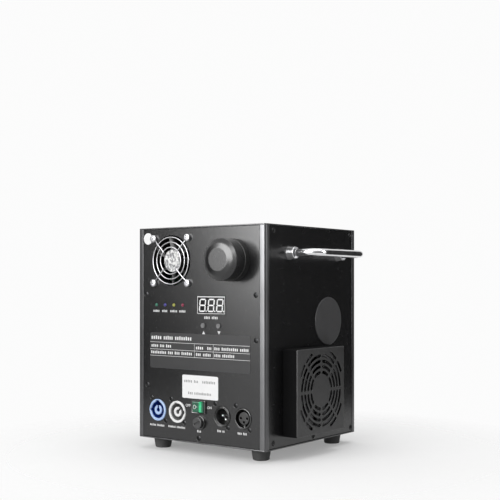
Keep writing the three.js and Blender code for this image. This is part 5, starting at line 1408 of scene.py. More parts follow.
def build_print(sizes, look):
    """The data plate with its rules, the stickers and the legends, all words as plain blocks."""
    face = sizes.plate_thickness
    data_plate = plate(box_outline(*PLATE_OUTLINE, PLATE_CORNER), (), -PRINT_SINK, face, PLATE_EDGE)
    add_piece("data_plate", data_plate, CONTROL, look.data_plate)
    marks = words(PLATE_WORDS, face - PRINT_SINK, PRINT_SINK + PLATE_PRINT_HEIGHT)
    for rule in PLATE_RULES:
        marks.merge(plate(rectangle(*rule), (), face - PRINT_SINK, face + PLATE_PRINT_HEIGHT, PRINT_EDGE))
    add_piece("data_plate_print", marks, CONTROL, look.ink)
    stickers = Form()
    for outline in (box_outline(*STICKER_OUTLINE, STICKER_CORNER), circle(*ROUND_STICKER, ROUND)):
        stickers.merge(plate(outline, (), -PRINT_SINK, STICKER_THICKNESS, STICKER_EDGE))
    add_piece("white_stickers", stickers, CONTROL, look.paper)
    grey = words(STICKER_WORDS, STICKER_THICKNESS - PRINT_SINK, PRINT_SINK + STICKER_PRINT_HEIGHT)
    add_piece("sticker_print", grey, CONTROL, look.grey_ink)
    legends = words(LEGEND_WORDS, -PRINT_SINK, PRINT_SINK + PRINT_HEIGHT)
    for text, u, v in SWITCH_WORDS:
        legends.merge(lettering(text, SWITCH_WORD_HEIGHT, u, v, -PRINT_SINK, PRINT_SINK + PRINT_HEIGHT))
    add_piece("panel_legends", legends, CONTROL, look.ink)


# Sockets, switch and fuse
def notched_circle(u, v, radius, notches):
    """A circle whose radius grows by a depth within each notch."""
    angle = np.arange(NOTCH_STEPS) / NOTCH_STEPS * FULL_TURN
    reach = np.full(NOTCH_STEPS, float(radius))
    for middle, half, depth in notches:
        off = np.abs((angle - math.radians(middle) + math.pi) % FULL_TURN - math.pi)
        reach += depth * soft_step((math.radians(half) - off) / NOTCH_FADE)
    return np.column_stack([u + reach * np.cos(angle), v + reach * np.sin(angle)])


def open_ring(u, v, outer, inner, gap, facing):
    """A C: a ring of two arcs joined across an opening of the given width that faces one way."""
    outer_steps, inner_steps = 60, 40
    centre = math.radians(facing)
    arcs = []
    for radius, steps, way in ((outer, outer_steps, 1), (inner, inner_steps, -1)):
        half = math.asin(gap / 2 / radius)
        turn = np.linspace(centre + half, centre + FULL_TURN - half, steps)[::way]
        arcs.append(np.column_stack([u + radius * np.cos(turn), v + radius * np.sin(turn)]))
    return np.concatenate(arcs)


def socket_flange(span, radius):
    """The mounting flange behind the panel, round the socket's body."""
    outline = box_outline(*span.box, FLANGE_CORNER)
    return plate(outline, [circle(span.u, span.v, radius)], FLANGE_BACK, -SHEET, FINE_EDGE)


def build_power_socket(node, look):
    """A locking power socket: pale lip and C-shaped core over a deep groove with key notches."""
    tint, facing, notches = POWER_SOCKETS[node]
    span, radius = CONTROL.span(node), SOCKET_RADII[node]
    shoulder = span.front - LIP_HEIGHT
    outer = circle(span.u, span.v, radius)
    groove = notched_circle(span.u, span.v, GROOVE, notches)
    core = open_ring(span.u, span.v, CORE, HOLLOW, CORE_OPENING, facing)
    pillar = circle(span.u, span.v, HOLLOW - HOLLOW_GAP, SMALL)
    face = plate(outer, [groove], shoulder, span.front, LIP_ROUNDING)
    face.merge(plate(core, (), CORE_STEP, CORE_FRONT))
    # The lip and the core's front take the face finish, on the blue inlet a lighter copy of the plastic as
    # painted highlight.
    add_piece(f"{node}_face", face, CONTROL, getattr(look, f"{tint}_face"))
    body = plate(outer, [groove], SOCKET_FLOOR, shoulder, 0.0)
    body.merge(
        plate(outer, (), span.back, SOCKET_FLOOR, 0.0, SOCKET_BACK_EDGE),
        plate(core, (), SOCKET_FLOOR, CORE_STEP, 0.0),
        plate(pillar, (), SOCKET_FLOOR, HOLLOW_FLOOR, FINE_EDGE),
        socket_flange(span, radius),
    )
    # The groove walls, body, lower core, pillar and flange take the darker copy: painted shade in the recess.
    deep = getattr(look, f"{tint}_deep")
    add_piece(f"{node}_body", body, CONTROL, deep, replaces=[node])


def pin_places(span):
    """Three contact places on a circle: left, right and below."""
    return [(span.u - PIN_CIRCLE, span.v), (span.u + PIN_CIRCLE, span.v), (span.u, span.v - PIN_CIRCLE)]


def build_data_inlet(look):
    """The three-pin data inlet: pins in a dark recess, a grooved rim and a latch over it."""
    span, radius = CONTROL.span("data_in_socket"), SOCKET_RADII["data_in_socket"]
    rim_inner, rim_outer = INLET_RIM
    form = lathed([
        (0, SOCKET_FLOOR), (INLET_MOUTH, SOCKET_FLOOR), (INLET_MOUTH, INLET_MOUTH_FRONT),
        (rim_inner, INLET_MOUTH_FRONT), (rim_inner, INLET_RIM_FLOOR), (rim_outer, INLET_RIM_FLOOR),
        (rim_outer, span.front), (radius, span.front), (radius, span.back), (0, span.back),
    ], [0, 0.5, 0.3, 0.3, 0, 0, 0.3, 0.4, 0.4, 0], span)
    half, low, high = LATCH
    latch = box_outline(span.u - half, span.v + low, span.u + half, span.v + high, LATCH_CORNER)
    form.merge(socket_flange(span, radius), plate(latch, (), -SHEET, LATCH_FRONT))
    add_piece("data_in_shell", form, CONTROL, look.socket, replaces=["data_in_socket"])
    pin = rounded([
        (0, SOCKET_FLOOR), (PIN_RADIUS, SOCKET_FLOOR), (PIN_RADIUS, PIN_FRONT), (0, PIN_TIP),
    ], [0, 0, 0.8, 0], closed=False)
    contacts = Form()
    for u, v in pin_places(span):
        contacts.merge(turned(pin, SMALL, u, v))
    add_piece("data_in_pins", contacts, CONTROL, look.pin)


def build_data_outlet(look):
    """The three-hole data outlet: a raised face with contact holes in a keyed well."""
    span, radius = CONTROL.span("data_out_socket"), SOCKET_RADII["data_out_socket"]
    form = lathed([
        (0, SOCKET_FLOOR), (OUTLET_MOUTH, SOCKET_FLOOR), (OUTLET_MOUTH, span.front), (radius, span.front),
        (radius, span.back), (0, span.back),
    ], [0, 0.4, 0.3, 0.5, 0.4, 0], span)
    half, low, high = OUTLET_KEY
    key = box_outline(span.u - half, span.v + low, span.u + half, span.v + high, FINE_EDGE)
    form.merge(socket_flange(span, radius), plate(key, (), SOCKET_FLOOR, KEY_FRONT, FINE_EDGE))
    add_piece("data_out_shell", form, CONTROL, look.socket, replaces=["data_out_socket"])
    contact_holes = [circle(u, v, PIN_HOLE, SMALL) for u, v in pin_places(span)]
    face = circle(span.u, span.v, OUTLET_FACE)
    form = plate(face, contact_holes, SOCKET_FLOOR, OUTLET_FACE_FRONT)
    add_piece("data_out_face", form, CONTROL, look.plastic)


def rocker_form(body):
    """The rocker with its right side pressed. Its face rises from the middle by e tan(tilt) |s|^k towards
    each end, and the whole turns by the tilt."""
    foot, foot_back = ROCKER_FOOT
    share = np.linspace(1, -1, ROCKER_STEPS)
    rise = ROCKER_END * math.tan(ROCKER_TILT)
    face = np.column_stack([ROCKER_END * share, ROCKER_CROWN + rise * np.abs(share) ** ROCKER_CURVE])
    outline = np.concatenate([
        [(-foot, foot_back), (foot, foot_back), (ROCKER_END, 0)], face, [(-ROCKER_END, 0)],
    ])
    form = plate(outline, (), -ROCKER_HALF, ROCKER_HALF, ROCKER_EDGE, ROCKER_EDGE)
    form.points = [
        np.column_stack([body.u + block[:, 0], body.v + block[:, 2], block[:, 1] - ROCKER_PIVOT])
        for block in form.points
    ]
    return tilted(form, -ROCKER_TILT, body.u, -ROCKER_PIVOT)


def rocker_marks_form(body):
    """A ring and a bar printed on the rocker: laid on the slope of its face, then tilted with it."""
    length, width, line = RING_MARK
    ring = stadium(0, 0, length, width, QUARTER_TURN)
    form = plate(ring, [inset(ring, line)], 0.0, PRINT_HEIGHT, 0.0)
    form.merge(plate(rectangle(*BAR_MARK), (), 0.0, PRINT_HEIGHT, 0.0))
    height = ROCKER_CROWN - ROCKER_PIVOT + MARK_PLACE * math.tan(ROCKER_TILT)
    tilted(form, -ROCKER_TILT, 0, 0).moved(body.u - MARK_PLACE, body.v, height)
    return tilted(form, -ROCKER_TILT, body.u, -ROCKER_PIVOT)


def tilted(form, angle, u, p):
    """Turns a form by an angle in the plane of u and p, about the line through (u, p) along v."""
    cosine, sine = math.cos(angle), math.sin(angle)
    result = []
    for block in form.points:
        du, dp = block[:, 0] - u, block[:, 2] - p
        across, out = u + du * cosine - dp * sine, p + du * sine + dp * cosine
        result.append(np.column_stack([across, block[:, 1], out]))
    form.points = result
    return form


def build_switch(colours, look):
    """The rocker switch: bezel and well, the lit green rocker and the marks on it."""
    body, rocker = CONTROL.span("switch_body"), CONTROL.span("switch_rocker")
    well, shaft = (
        rectangle(body.u - half_u, body.v - half_v, body.u + half_u, body.v + half_v)
        for half_u, half_v in (WELL, SHAFT)
    )
    outline = box_outline(*body.box, BEZEL_CORNER)
    form = plate(outline, [well], 0.0, body.front, BEZEL_EDGE)
    form.merge(plate(shaft, [well], WELL_FLOOR, 0.0, 0.0))
    form.merge(plate(shaft, (), body.back, WELL_FLOOR, 0.0, SHAFT_EDGE))
    add_piece("switch_bezel", form, CONTROL, look.socket, replaces=["switch_body"])
    lamp_offset, lamp_half = ROCKER_LAMP
    finish = rocker_finish(colours, CONTROL.origin[0] / MM + rocker.u + lamp_offset, lamp_half)
    add_piece(
        "rocker_key", rocker_form(body), CONTROL, finish, body="rocker",
        replaces=["switch_rocker"],
    )
    add_piece("rocker_marks", rocker_marks_form(body), CONTROL, look.ink, body="rocker")


def build_fuse(look):
    """The fuse holder, its slotted cap and the glass fuse with two end caps that the cap carries."""
    holder, cap, fuse = (CONTROL.span(node) for node in ("fuse_holder", "fuse_cap", "glass_fuse"))
    form = lathed([
        (0, holder.back), (FUSE_SPIGOT, holder.back), (FUSE_SPIGOT, 0), (holder.radius, 0),
        (holder.radius, FUSE_FLANGE), (FUSE_BORE, FUSE_FLANGE), (FUSE_BORE, holder.back + SHEET),
        (0, holder.back + SHEET),
    ], [0, 0.5, 0, 0, 0.5, 0.2, 0, 0], holder)
    add_piece("fuse_socket", form, CONTROL, look.socket, replaces=["fuse_holder"])
    hollow, sleeve = KNOB_SLEEVE
    bottom, floor, shoulder = FUSE_FLANGE + SEAT_GAP, fuse.front + SEAT_GAP, cap.front - COIN_DEPTH
    knob = lathed([
        (0, floor), (hollow, floor), (hollow, cap.back), (sleeve, cap.back), (sleeve, bottom),
        (cap.radius, bottom), (cap.radius, shoulder), (0, shoulder),
    ], [0, 0, 0, 0.3, 0, 0.3, 0, 0], cap)
    coin_slot = stadium(cap.u, cap.v, *COIN_SLOT, COIN_TURN)
    knob.merge(plate(circle(cap.u, cap.v, cap.radius), [coin_slot], shoulder, cap.front, KNOB_EDGE))
    add_piece(
        "fuse_cap_knob", knob, CONTROL, look.fuse, body="fuse_knob",
        replaces=["fuse_cap"],
    )
    glass, bore, outside = (
        circle(fuse.u, fuse.v, radius, ROUND) for radius in (GLASS_RADIUS, FERRULE_BORE, fuse.radius)
    )
    low, high = fuse.back + FERRULE_END, fuse.front - FERRULE_END
    tube = plate(glass, (), low, high, FUSE_EDGE)
    add_piece(
        "fuse_glass_tube", tube, CONTROL, look.glass, body="fuse", replaces=["glass_fuse"],
    )
    ferrules = plate(bore, (), fuse.back, low, 0.0).merge(plate(bore, (), high, fuse.front, 0.0))
    for back in (fuse.back, fuse.front - FERRULE_LENGTH):
        ferrules.merge(plate(outside, [bore], back, back + FERRULE_LENGTH, FUSE_EDGE, FUSE_EDGE))
    add_piece("fuse_end_caps", ferrules, CONTROL, look.pin, body="fuse")


# Handle side
def build_handle(sizes, look):
    """The carrying handle: a chromed bar bent at two rounded corners, its ends in recessed bosses."""
    near, far, bar = (HANDLE.span(node) for node in ("handle_boss_near", "handle_boss_far", "handle_bar"))
    radius = sizes.bar / 2
    reach = bar.front - radius
    corners = [(near.u, BAR_FOOT), (near.u, reach), (far.u, reach), (far.u, BAR_FOOT)]
    line = rounded(corners, [0, sizes.bend, sizes.bend, 0], closed=False, steps=BEND_STEPS)
    path = np.column_stack([line[:, 0], np.full(len(line), near.v), line[:, 1]])
    form = carried(circle(0, 0, radius, ROUND), path, (0, 1, 0))
    add_piece("carrying_bar", form, HANDLE, look.chrome, replaces=["handle_bar"])
    hole, recess = radius + SEAT_GAP, sizes.boss_recess
    for node, boss in (("handle_boss_near", near), ("handle_boss_far", far)):
        recess_floor = boss.front - BOSS_DEPTH
        form = lathed([
            (0, 0), (boss.radius, 0), (boss.radius, BOSS_RIM), (boss.radius - BOSS_SLOPE, boss.front),
            (recess, boss.front), (recess, recess_floor), (hole, recess_floor), (hole, BOSS_FLOOR),
            (0, BOSS_FLOOR),
        ], [0, 0.4, 2.4, 0.35, 0.2, 0.4, 0.2, 0, 0], boss)
        add_piece(f"{node}_cup", form, HANDLE, look.chrome, replaces=[node])


def build_reader_window(look):
    """The round reader window: a thin rim over a spigot that stands in the panel's hole."""
    span = HANDLE.span("reader_window")
    spigot = span.radius - SPIGOT_STEP
    form = lathed([
        (0, span.back), (spigot, span.back), (spigot, 0), (span.radius, 0), (span.radius, span.front),
        (0, span.front),
    ], [0, 0.3, 0, 0, 0.6, 0], span, SMOOTH)
    add_piece("reader_lens", form, HANDLE, look.window, replaces=["reader_window"])


def grille_slots(u, v, limit, sizes):
    """Slots along rings round the fan's middle, parted by spokes and kept clear of the cover's edges."""
    slots = []
    half = sizes.slot_width / 2
    part = FULL_TURN / SPOKES
    for ring in range(SLOT_RINGS):
        radius = sizes.first_ring + ring * sizes.ring_pitch
        spoke = sizes.spoke / 2 / radius
        reach = radius + half
        clear = math.acos(limit / reach) if reach > limit else 0.0
        for index in range(SPOKES):
            near_axis = index % 2 == 0
            start = index * part + max(spoke, clear if near_axis else 0.0)
            end = (index + 1) * part - max(spoke, 0.0 if near_axis else clear)
            slots.append(ring_slot(u, v, radius, start, end, half))
    return slots


def cover_form(cover, sizes):
    """The square pressing over the large fan: four walls and a face with ring slots, open at its back."""
    face, inside_face, edge = cover.front, cover.front - SHEET, sizes.cover_edge
    outer = box_outline(*cover.box, sizes.cover_corner)
    inner = rectangle(cover.left + SHEET, cover.bottom + SHEET, cover.right - SHEET, cover.top - SHEET)
    slots = grille_slots(cover.u, cover.v, cover.radius - COVER_MARGIN, sizes)
    rows = [(outer, 0.0), (outer, SUPPORT), (outer, face - edge - SUPPORT)]
    form = Form().walls(rows + quarter_round(outer, face, edge, steps=EDGE_STEPS + 2))
    form.walls([(inner, 0.0), (inner, inside_face)])
    for slot in slots:
        form.walls([(slot, inside_face), (slot, face - SLOT_EDGE), (inset(slot, -SLOT_EDGE), face)])
    form.cap(outer, [inner], 0.0)
    form.cap(inset(outer, edge), [inset(slot, -SLOT_EDGE) for slot in slots], face)
    return form.cap(inner, slots, inside_face)


def build_side_fan(sizes, look):
    """The large fan and its square pressed cover with ring slots."""
    add_fan("large", "side_fan", HANDLE, sizes, look.fan_plastic)
    pressing = add_piece(
        "fan_cover_pressing", cover_form(HANDLE.span("side_fan_cover"), sizes), HANDLE, look.cover,
        replaces=["side_fan_cover"],
    )
    # The side walls take the shaded copy of the coat: painted shade.
    coat_edges(pressing, look.cover_side, axis=0, limit=WALL_SHARE)


def dress_inner_nodes(look):
    """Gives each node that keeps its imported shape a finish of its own."""
    chosen = {
        "spark_chamber": look.steel, "heater_band": look.ceramic, "blower_housing": look.plastic,
        "blower_impeller": look.plastic, "blower_motor": look.motor, "auger_tube": look.steel,
        "feed_auger": look.steel, "gear_motor": look.motor, "hopper": look.steel, "reader_board": look.board,
        "control_board": look.board, "driver_board": look.board, "power_supply": look.motor,
    }
    for node, material in chosen.items():
        for holder in frame["nodes"][node].material_slots:
            holder.material = material


# Studio
def aim(holder, place, target, front):
    """Stands an object at a place, with its front axis towards a target."""
    holder.location = place
    holder.rotation_euler = (Vector(target) - Vector(place)).to_track_quat(front, "Y").to_euler()


def light_panel(name, strength, matt=True, gloss=True):
    """A soft box of even light that faces a point. Its strength is the brightness of its surface, and it
    lights the matt part of a finish, the glossy part or both."""
    place, target, width, height = SOFT_BOXES[name]
    lamp = bpy.data.lights.new(name, "AREA")
    lamp.shape, lamp.size, lamp.size_y = "RECTANGLE", width, height
    lamp.energy = strength * math.pi * width * height
    holder = placed(name, lamp)
    aim(holder, place, target, "-Z")
    holder.visible_diffuse, holder.visible_glossy = matt, gloss


def dark_card(name, place, target, width, height):
    """A black card that only reflections see, as a photographer sets one up beside a shiny black object."""
    black, soft_black = (0.004, 0.004, 0.004, 1), (0.008, 0.008, 0.008, 1)
    mesh = bpy.data.meshes.new(name)
    corners = rectangle(-width / 2, -height / 2, width / 2, height / 2)
    mesh.from_pydata([(x, y, 0) for x, y in corners.tolist()], [], [(0, 1, 2, 3)])
    finish = Finish(name)
    finish.set(Base_Color=finish.mix(finish.noise(size=60.0), black, soft_black), Roughness=0.95)
    mesh.materials.append(finish.material)
    card = placed(name, mesh)
    aim(card, place, target, "Z")
    card.visible_camera = card.visible_diffuse = card.visible_shadow = card.visible_transmission = False


def build_floor(stage):
    """A wide pale floor that fades into the backdrop's tone with its distance from the machine."""
    line = np.linspace(-FLOOR_REACH, FLOOR_REACH, FLOOR_STEPS)
    x, y = np.meshgrid(line, line, indexing="ij")
    mesh = bpy.data.meshes.new("studio_floor")
    points = np.stack([x, y, 0 * x], -1).reshape(-1, 3)
    mesh.from_pydata(points.tolist(), [], grid_faces(FLOOR_STEPS, FLOOR_STEPS, wrap_columns=False).tolist())
    finish = Finish("studio_floor_paint")
    distance = finish.node("ShaderNodeVectorMath", {0: finish.place}, operation="LENGTH").outputs["Value"]
    start, end = FLOOR_FADE
    fade = finish.spread(distance, FLOOR_START_SHARE, 1.0, start, end)
    cloud = finish.spread(finish.noise(size=90.0), 0, 1)
    tone = finish.mix(cloud, opaque(stage.floor_colour, 0.985), opaque(stage.floor_colour))
    finish.set(Base_Color=tone, Roughness=0.85, Specular_IOR_Level=0.1)
    clear = finish.node("ShaderNodeBsdfTransparent")
    joined = finish.node("ShaderNodeMixShader", {
        0: fade, 1: finish.shader.outputs[0], 2: clear.outputs[0],
    })
    output = next(node for node in finish.nodes if node.type == "OUTPUT_MATERIAL")
    finish.links.new(joined.outputs[0], output.inputs["Surface"])
    mesh.materials.append(finish.material)
    placed("studio_floor", mesh)


def build_world(stage):
    """A pale backdrop for the camera, reflections and glass, and a softer level for diffuse light."""
    world = bpy.data.worlds.new("studio")
    bpy.context.scene.world = world
    world.use_nodes = True
    tree = NodeTree(world.node_tree)
    tree.nodes.clear()
    path = tree.node("ShaderNodeLightPath")
    seen = path.outputs["Is Camera Ray"]
    for name in ("Is Glossy Ray", "Is Transmission Ray"):
        seen = tree.node("ShaderNodeMath", {0: seen, 1: path.outputs[name]}, operation="MAXIMUM").outputs[0]
    dim = tree.node("ShaderNodeBackground", {"Color": (1, 1, 1, 1), "Strength": stage.ambient})
    pale = tree.node("ShaderNodeBackground", {"Color": opaque(stage.backdrop), "Strength": 1.0})
    join = tree.node("ShaderNodeMixShader", {0: seen, 1: dim.outputs[0], 2: pale.outputs[0]})
    tree.node("ShaderNodeOutputWorld", {"Surface": join.outputs[0]})


def build_lights(stage):
    """The front soft box as two lamps, one for matt surfaces and one for reflections, the overhead box and
    the strip, with three black cards beside the machine and the camera."""
    light_panel("key_soft_box", stage.key_light, gloss=False)
    light_panel("key_gloss_box", stage.key_gloss, matt=False)
    light_panel("top_soft_box", stage.top_light)
    light_panel("rim_strip", stage.rim_light, matt=False)
    for name, (place, target, width, height) in DARK_CARDS.items():
        dark_card(name, place, target, width, height)


def build_camera(stage):
    """The camera at the photograph's place: level, in front of the near vertical edge."""
    data = bpy.data.cameras.new("photo_camera")
    data.sensor_width = 36.0
    data.lens = stage.lens
    data.shift_y = stage.shift
    data.dof.use_dof = False
    camera = placed("photo_camera", data)
    camera.location = tuple(stage.camera_place)
    camera.rotation_euler = (QUARTER_TURN, 0, stage.camera_turn)
    bpy.context.scene.camera = camera


# Settings
def length(name, description, millimetres):
    """A length setting, given here in millimetres and kept in metres."""
    metres = millimetres * MM
    return FloatProperty(name=name, description=description, default=metres, unit="LENGTH", precision=5)


def colour(name, description, red, green, blue):
    """A colour setting."""
    return FloatVectorProperty(
        name=name, description=description, default=(red, green, blue), subtype="COLOR", min=0, max=1,
    )


def sizes_of(context, name):
    """One group's settings, with its lengths in millimetres and its counts as they are."""
    group = getattr(context.scene.spark_machine, name)
    values = {}
    for key in group.__annotations__:
        value = getattr(group, key)
        values[key] = value if isinstance(value, int) else round(value / MM, 4)
    return SimpleNamespace(**values)


class HousingSizes(bpy.types.PropertyGroup):
    """Sizes of the housing's pieces."""

    corner: length("Corner radius", "Radius of the housing's upright corners", 3)
    sheet_edge: length("Sheet edge", "Rounding of the base and top sheets' edges", 0.45)
    post_edge: length("Post edge", "Rounding of a post's edges beside the panels", 0.35)
    panel_edge: length("Panel edge", "Rounding of the panels' edges and holes", 0.2)
    screw_radius: length("Screw radius", "Radius of the countersunk panel screws", 2.7)
    socket_screw: length("Socket screw radius", "Radius of the countersunk socket screws", 2.3)
    foot_bottom: length("Foot bottom radius", "Radius of a foot where it stands on the floor", 8.8)
    small_fan_opening: length("Small fan opening", "Radius of the opening in the control panel", 28.2)
    large_fan_opening: length("Large fan opening", "Radius of the opening in the handle panel", 38)


class FanSizes(bpy.types.PropertyGroup):
    """Sizes of the two fans, the wire guard and the pressed cover."""

    small_bore: length("Small bore", "Bore radius of the small fan", 28.5)
    small_hub: length("Small hub", "Hub radius of the small fan", 12.8)
    large_bore: length("Large bore", "Bore radius of the large fan", 38.3)
    large_hub: length("Large hub", "Hub radius of the large fan", 17)
    blades: IntProperty(name="Blades", description="Number of blades on each rotor", default=7, min=3, max=13)
    wire: length("Guard wire", "Thickness of the guard's wire", 1.25)
    outer_ring: length("Outer ring", "Radius of the guard's outer ring", 26.2)
    middle_ring: length("Middle ring", "Radius of the guard's middle ring", 20.6)
    inner_ring: length("Inner ring", "Radius of the guard's inner ring", 15)
    arm_end: length("Arm end", "Distance from the middle to the inner end of a guard arm", 13)
    guard_screw: length("Guard screw radius", "Radius of the guard's pan heads", 4.2)
    first_ring: length("First slot ring", "Radius of the cover's first ring of slots", 20)
    ring_pitch: length("Slot ring pitch", "Distance between rings of slots", 6)
    slot_width: length("Slot width", "Width of a slot in the cover", 3.5)
    spoke: length("Spoke width", "Width of the spokes between slots", 2.8)
    cover_corner: length("Cover corner", "Radius of the cover's upright corners", 1.4)
    cover_edge: length("Cover edge", "Rounding of the cover's front edge", 1.0)


class ControlSizes(bpy.types.PropertyGroup):
    """Sizes of the filler, lamps, buttons and printed pieces."""

    neck_radius: length("Neck radius", "Outer radius of the filler's neck", 18)
    cap_rim: length("Cap rim height", "Height of the cap's rim above the panel", 21.9)
    cap_flat: length("Cap flat radius", "Radius of the flat top of the cap", 12.6)
    lamp_radius: length("Lamp radius", "Radius of an indicator lamp's lens", 1.7)
    button_radius: length("Button radius", "Radius of a push button", 2.8)
    plate_thickness: length("Plate thickness", "Thickness of the data plate", 0.3)


class HandleSizes(bpy.types.PropertyGroup):
    """Sizes of the carrying handle."""

    bar: length("Bar thickness", "Thickness of the round bar", 8)
    bend: length("Bend radius", "Radius of the bar's bends on its middle line", 14)
    boss_recess: length("Boss recess", "Radius of the recess round the bar's end", 5.7)


class FinishColours(bpy.types.PropertyGroup):
    """Colours of the finishes."""

    paint: colour("Paint", "Powder coat of the sheets and panels", 0.007, 0.007, 0.0075)
    cover: colour("Cover coat", "Rougher coat of the pressed fan cover", 0.006, 0.006, 0.0064)
    post: colour("Posts", "Anodised corner posts", 0.11, 0.11, 0.113)
    edge: colour("Sheet edges", "Edges of the base and top sheets", 0.11, 0.11, 0.112)
    rubber: colour("Rubber", "Feet and seal", 0.035, 0.035, 0.035)
    plastic: colour("Black plastic", "Sockets, fans and bezels", 0.012, 0.012, 0.012)
    fan_plastic: colour("Fan plastic", "Large fan's frame and blades", 0.17, 0.17, 0.174)
    cap: colour("Cap", "Filler cap", 0.012, 0.012, 0.0125)
    button: colour("Buttons", "Push buttons", 0.13, 0.13, 0.132)
    fuse: colour("Fuse cap", "Slotted fuse cap", 0.04, 0.04, 0.041)
    window: colour("Window", "Round reader window", 0.052, 0.052, 0.054)
    # The power sockets' colours are lit and shaded copies of their plastics: the blue face is painted lighter
    # than the blue plastic as a painted highlight, and both inside colours are painted darker as painted
    # shade in the groove.
    blue_face: colour("Blue face", "Lip and core of the power inlet", 0.46, 0.62, 0.95)
    blue_deep: colour("Blue inside", "Groove of the power inlet", 0.01, 0.05, 0.32)
    white_face: colour("White face", "Lip and core of the power outlet", 0.86, 0.86, 0.86)
    white_deep: colour("White inside", "Groove of the power outlet", 0.3, 0.3, 0.3)
    chrome: colour("Chrome", "Handle and contacts", 0.72, 0.72, 0.73)
    wire: colour("Wire", "Plated guard wire", 0.42, 0.42, 0.43)
    steel: colour("Steel", "Bare steel", 0.45, 0.45, 0.46)
    screw: colour("Screws", "Blackened screws", 0.035, 0.035, 0.036)
    ceramic: colour("Ceramic", "Heater band", 0.6, 0.56, 0.5)
    board: colour("Circuit board", "Solder mask", 0.02, 0.09, 0.035)
    display: colour("Display", "Dark display window", 0.006, 0.006, 0.007)
    ink: colour("White print", "Legends, rules and figures", 0.8, 0.8, 0.8)
    grey_ink: colour("Grey print", "Words on the stickers", 0.3, 0.3, 0.3)
    paper: colour("Stickers", "White sticker paper", 0.9, 0.9, 0.9)
    data_plate: colour("Data plate", "Matte grey data plate", 0.023, 0.023, 0.024)
    green: colour("Green lamp", "Green lens", 0.02, 0.2, 0.12)
    blue: colour("Blue lamp", "Blue lens", 0.045, 0.04, 0.3)
    yellow: colour("Yellow lamp", "Yellow lens", 0.45, 0.45, 0.06)
    red: colour("Red lamp", "Red lens", 0.3, 0.015, 0.06)
    rocker: colour("Rocker", "Green rocker", 0.004, 0.11, 0.055)
    rocker_glow: colour("Rocker glow", "Light behind the rocker", 0.04, 0.72, 0.28)
    glass: colour("Fuse glass", "Glass of the fuse", 0.85, 0.92, 0.92)


class StudioSettings(bpy.types.PropertyGroup):
    """Camera, floor and light."""

    lens: FloatProperty(
        name="Lens", description="Focal length on a 36 mm sensor", default=70.44, unit="CAMERA",
    )
    shift: FloatProperty(name="Shift", description="Upward shift of the picture", default=0.0676)
    camera_turn: FloatProperty(
        name="Camera turn", description="Turn of the level camera", default=math.radians(37.14),
        subtype="ANGLE",
    )
    camera_place: FloatVectorProperty(
        name="Camera place", description="Where the camera stands", default=(0.6698, -0.8950, 0.1874),
        subtype="TRANSLATION", unit="LENGTH",
    )
    key_light: FloatProperty(name="Key light", description="The front soft box on matt surfaces", default=2.6)
    key_gloss: FloatProperty(name="Key gloss", description="The front soft box in reflections", default=12.0)
    top_light: FloatProperty(name="Top light", description="Brightness of the overhead soft box", default=2.6)
    rim_light: FloatProperty(name="Rim light", description="The strip that lines the near post", default=9.0)
    ambient: FloatProperty(name="Ambient", description="Level of the even light from all round", default=0.45)
    backdrop: colour("Backdrop", "Colour behind the machine", 0.97, 0.97, 0.97)
    floor_colour: colour("Floor", "Colour of the floor", 0.96, 0.96, 0.96)


class SparkMachineSettings(bpy.types.PropertyGroup):
    """All settings of the machine and its studio."""

    housing: PointerProperty(type=HousingSizes, name="Housing", description="Sizes of the housing")
    fans: PointerProperty(type=FanSizes, name="Fans", description="Sizes of the fans")
    controls: PointerProperty(type=ControlSizes, name="Controls", description="Sizes of the controls")
    handle: PointerProperty(type=HandleSizes, name="Handle", description="Sizes of the handle")
    colours: PointerProperty(type=FinishColours, name="Colours", description="Colours of the finishes")
    studio: PointerProperty(type=StudioSettings, name="Studio", description="Camera, floor and light")


# Operators
class SPARK_OT_housing(bpy.types.Operator):
    """Make the sheets, posts, panels, screws and feet"""

    bl_idname = "spark.housing"
    bl_label = "Housing"

    def execute(self, context):
        build_housing(sizes_of(context, "housing"), sizes_of(context, "controls"), finishes())
        return {"FINISHED"}


class SPARK_OT_outlet(bpy.types.Operator):
    """Make the spark outlet's ring and pipe"""

    bl_idname = "spark.outlet"
    bl_label = "Spark Outlet"

    def execute(self, context):
        build_outlet(finishes())
        return {"FINISHED"}


class SPARK_OT_panel_fan(bpy.types.Operator):
    """Make the small fan, its label, wire guard and screws"""

    bl_idname = "spark.panel_fan"
    bl_label = "Small Fan"

    def execute(self, context):
        build_panel_fan(sizes_of(context, "fans"), finishes())
        return {"FINISHED"}


class SPARK_OT_filler(bpy.types.Operator):
    """Make the filler neck, its seal and screw cap"""

    bl_idname = "spark.filler"
    bl_label = "Granule Filler"

    def execute(self, context):
        build_filler(sizes_of(context, "controls"), finishes())
        return {"FINISHED"}


class SPARK_OT_controls(bpy.types.Operator):
    """Make the lamps, display and push buttons"""

    bl_idname = "spark.controls"
    bl_label = "Lamps, Display and Buttons"

    def execute(self, context):
        build_controls(sizes_of(context, "controls"), finishes())
        return {"FINISHED"}


class SPARK_OT_print(bpy.types.Operator):
    """Make the data plate, stickers and legends"""

    bl_idname = "spark.printed"
    bl_label = "Plate, Stickers and Legends"

    def execute(self, context):
        build_print(sizes_of(context, "controls"), finishes())
        return {"FINISHED"}


class SPARK_OT_sockets(bpy.types.Operator):
    """Make the power and data sockets"""

    bl_idname = "spark.sockets"
    bl_label = "Sockets"

    def execute(self, context):
        look = finishes()
        for node in POWER_SOCKETS:
            build_power_socket(node, look)
        build_data_inlet(look)
        build_data_outlet(look)
        return {"FINISHED"}


class SPARK_OT_switch(bpy.types.Operator):
    """Make the rocker switch and the fuse holder"""

    bl_idname = "spark.switch"
    bl_label = "Switch and Fuse"

    def execute(self, context):
        build_switch(context.scene.spark_machine.colours, finishes())
        build_fuse(finishes())
        return {"FINISHED"}


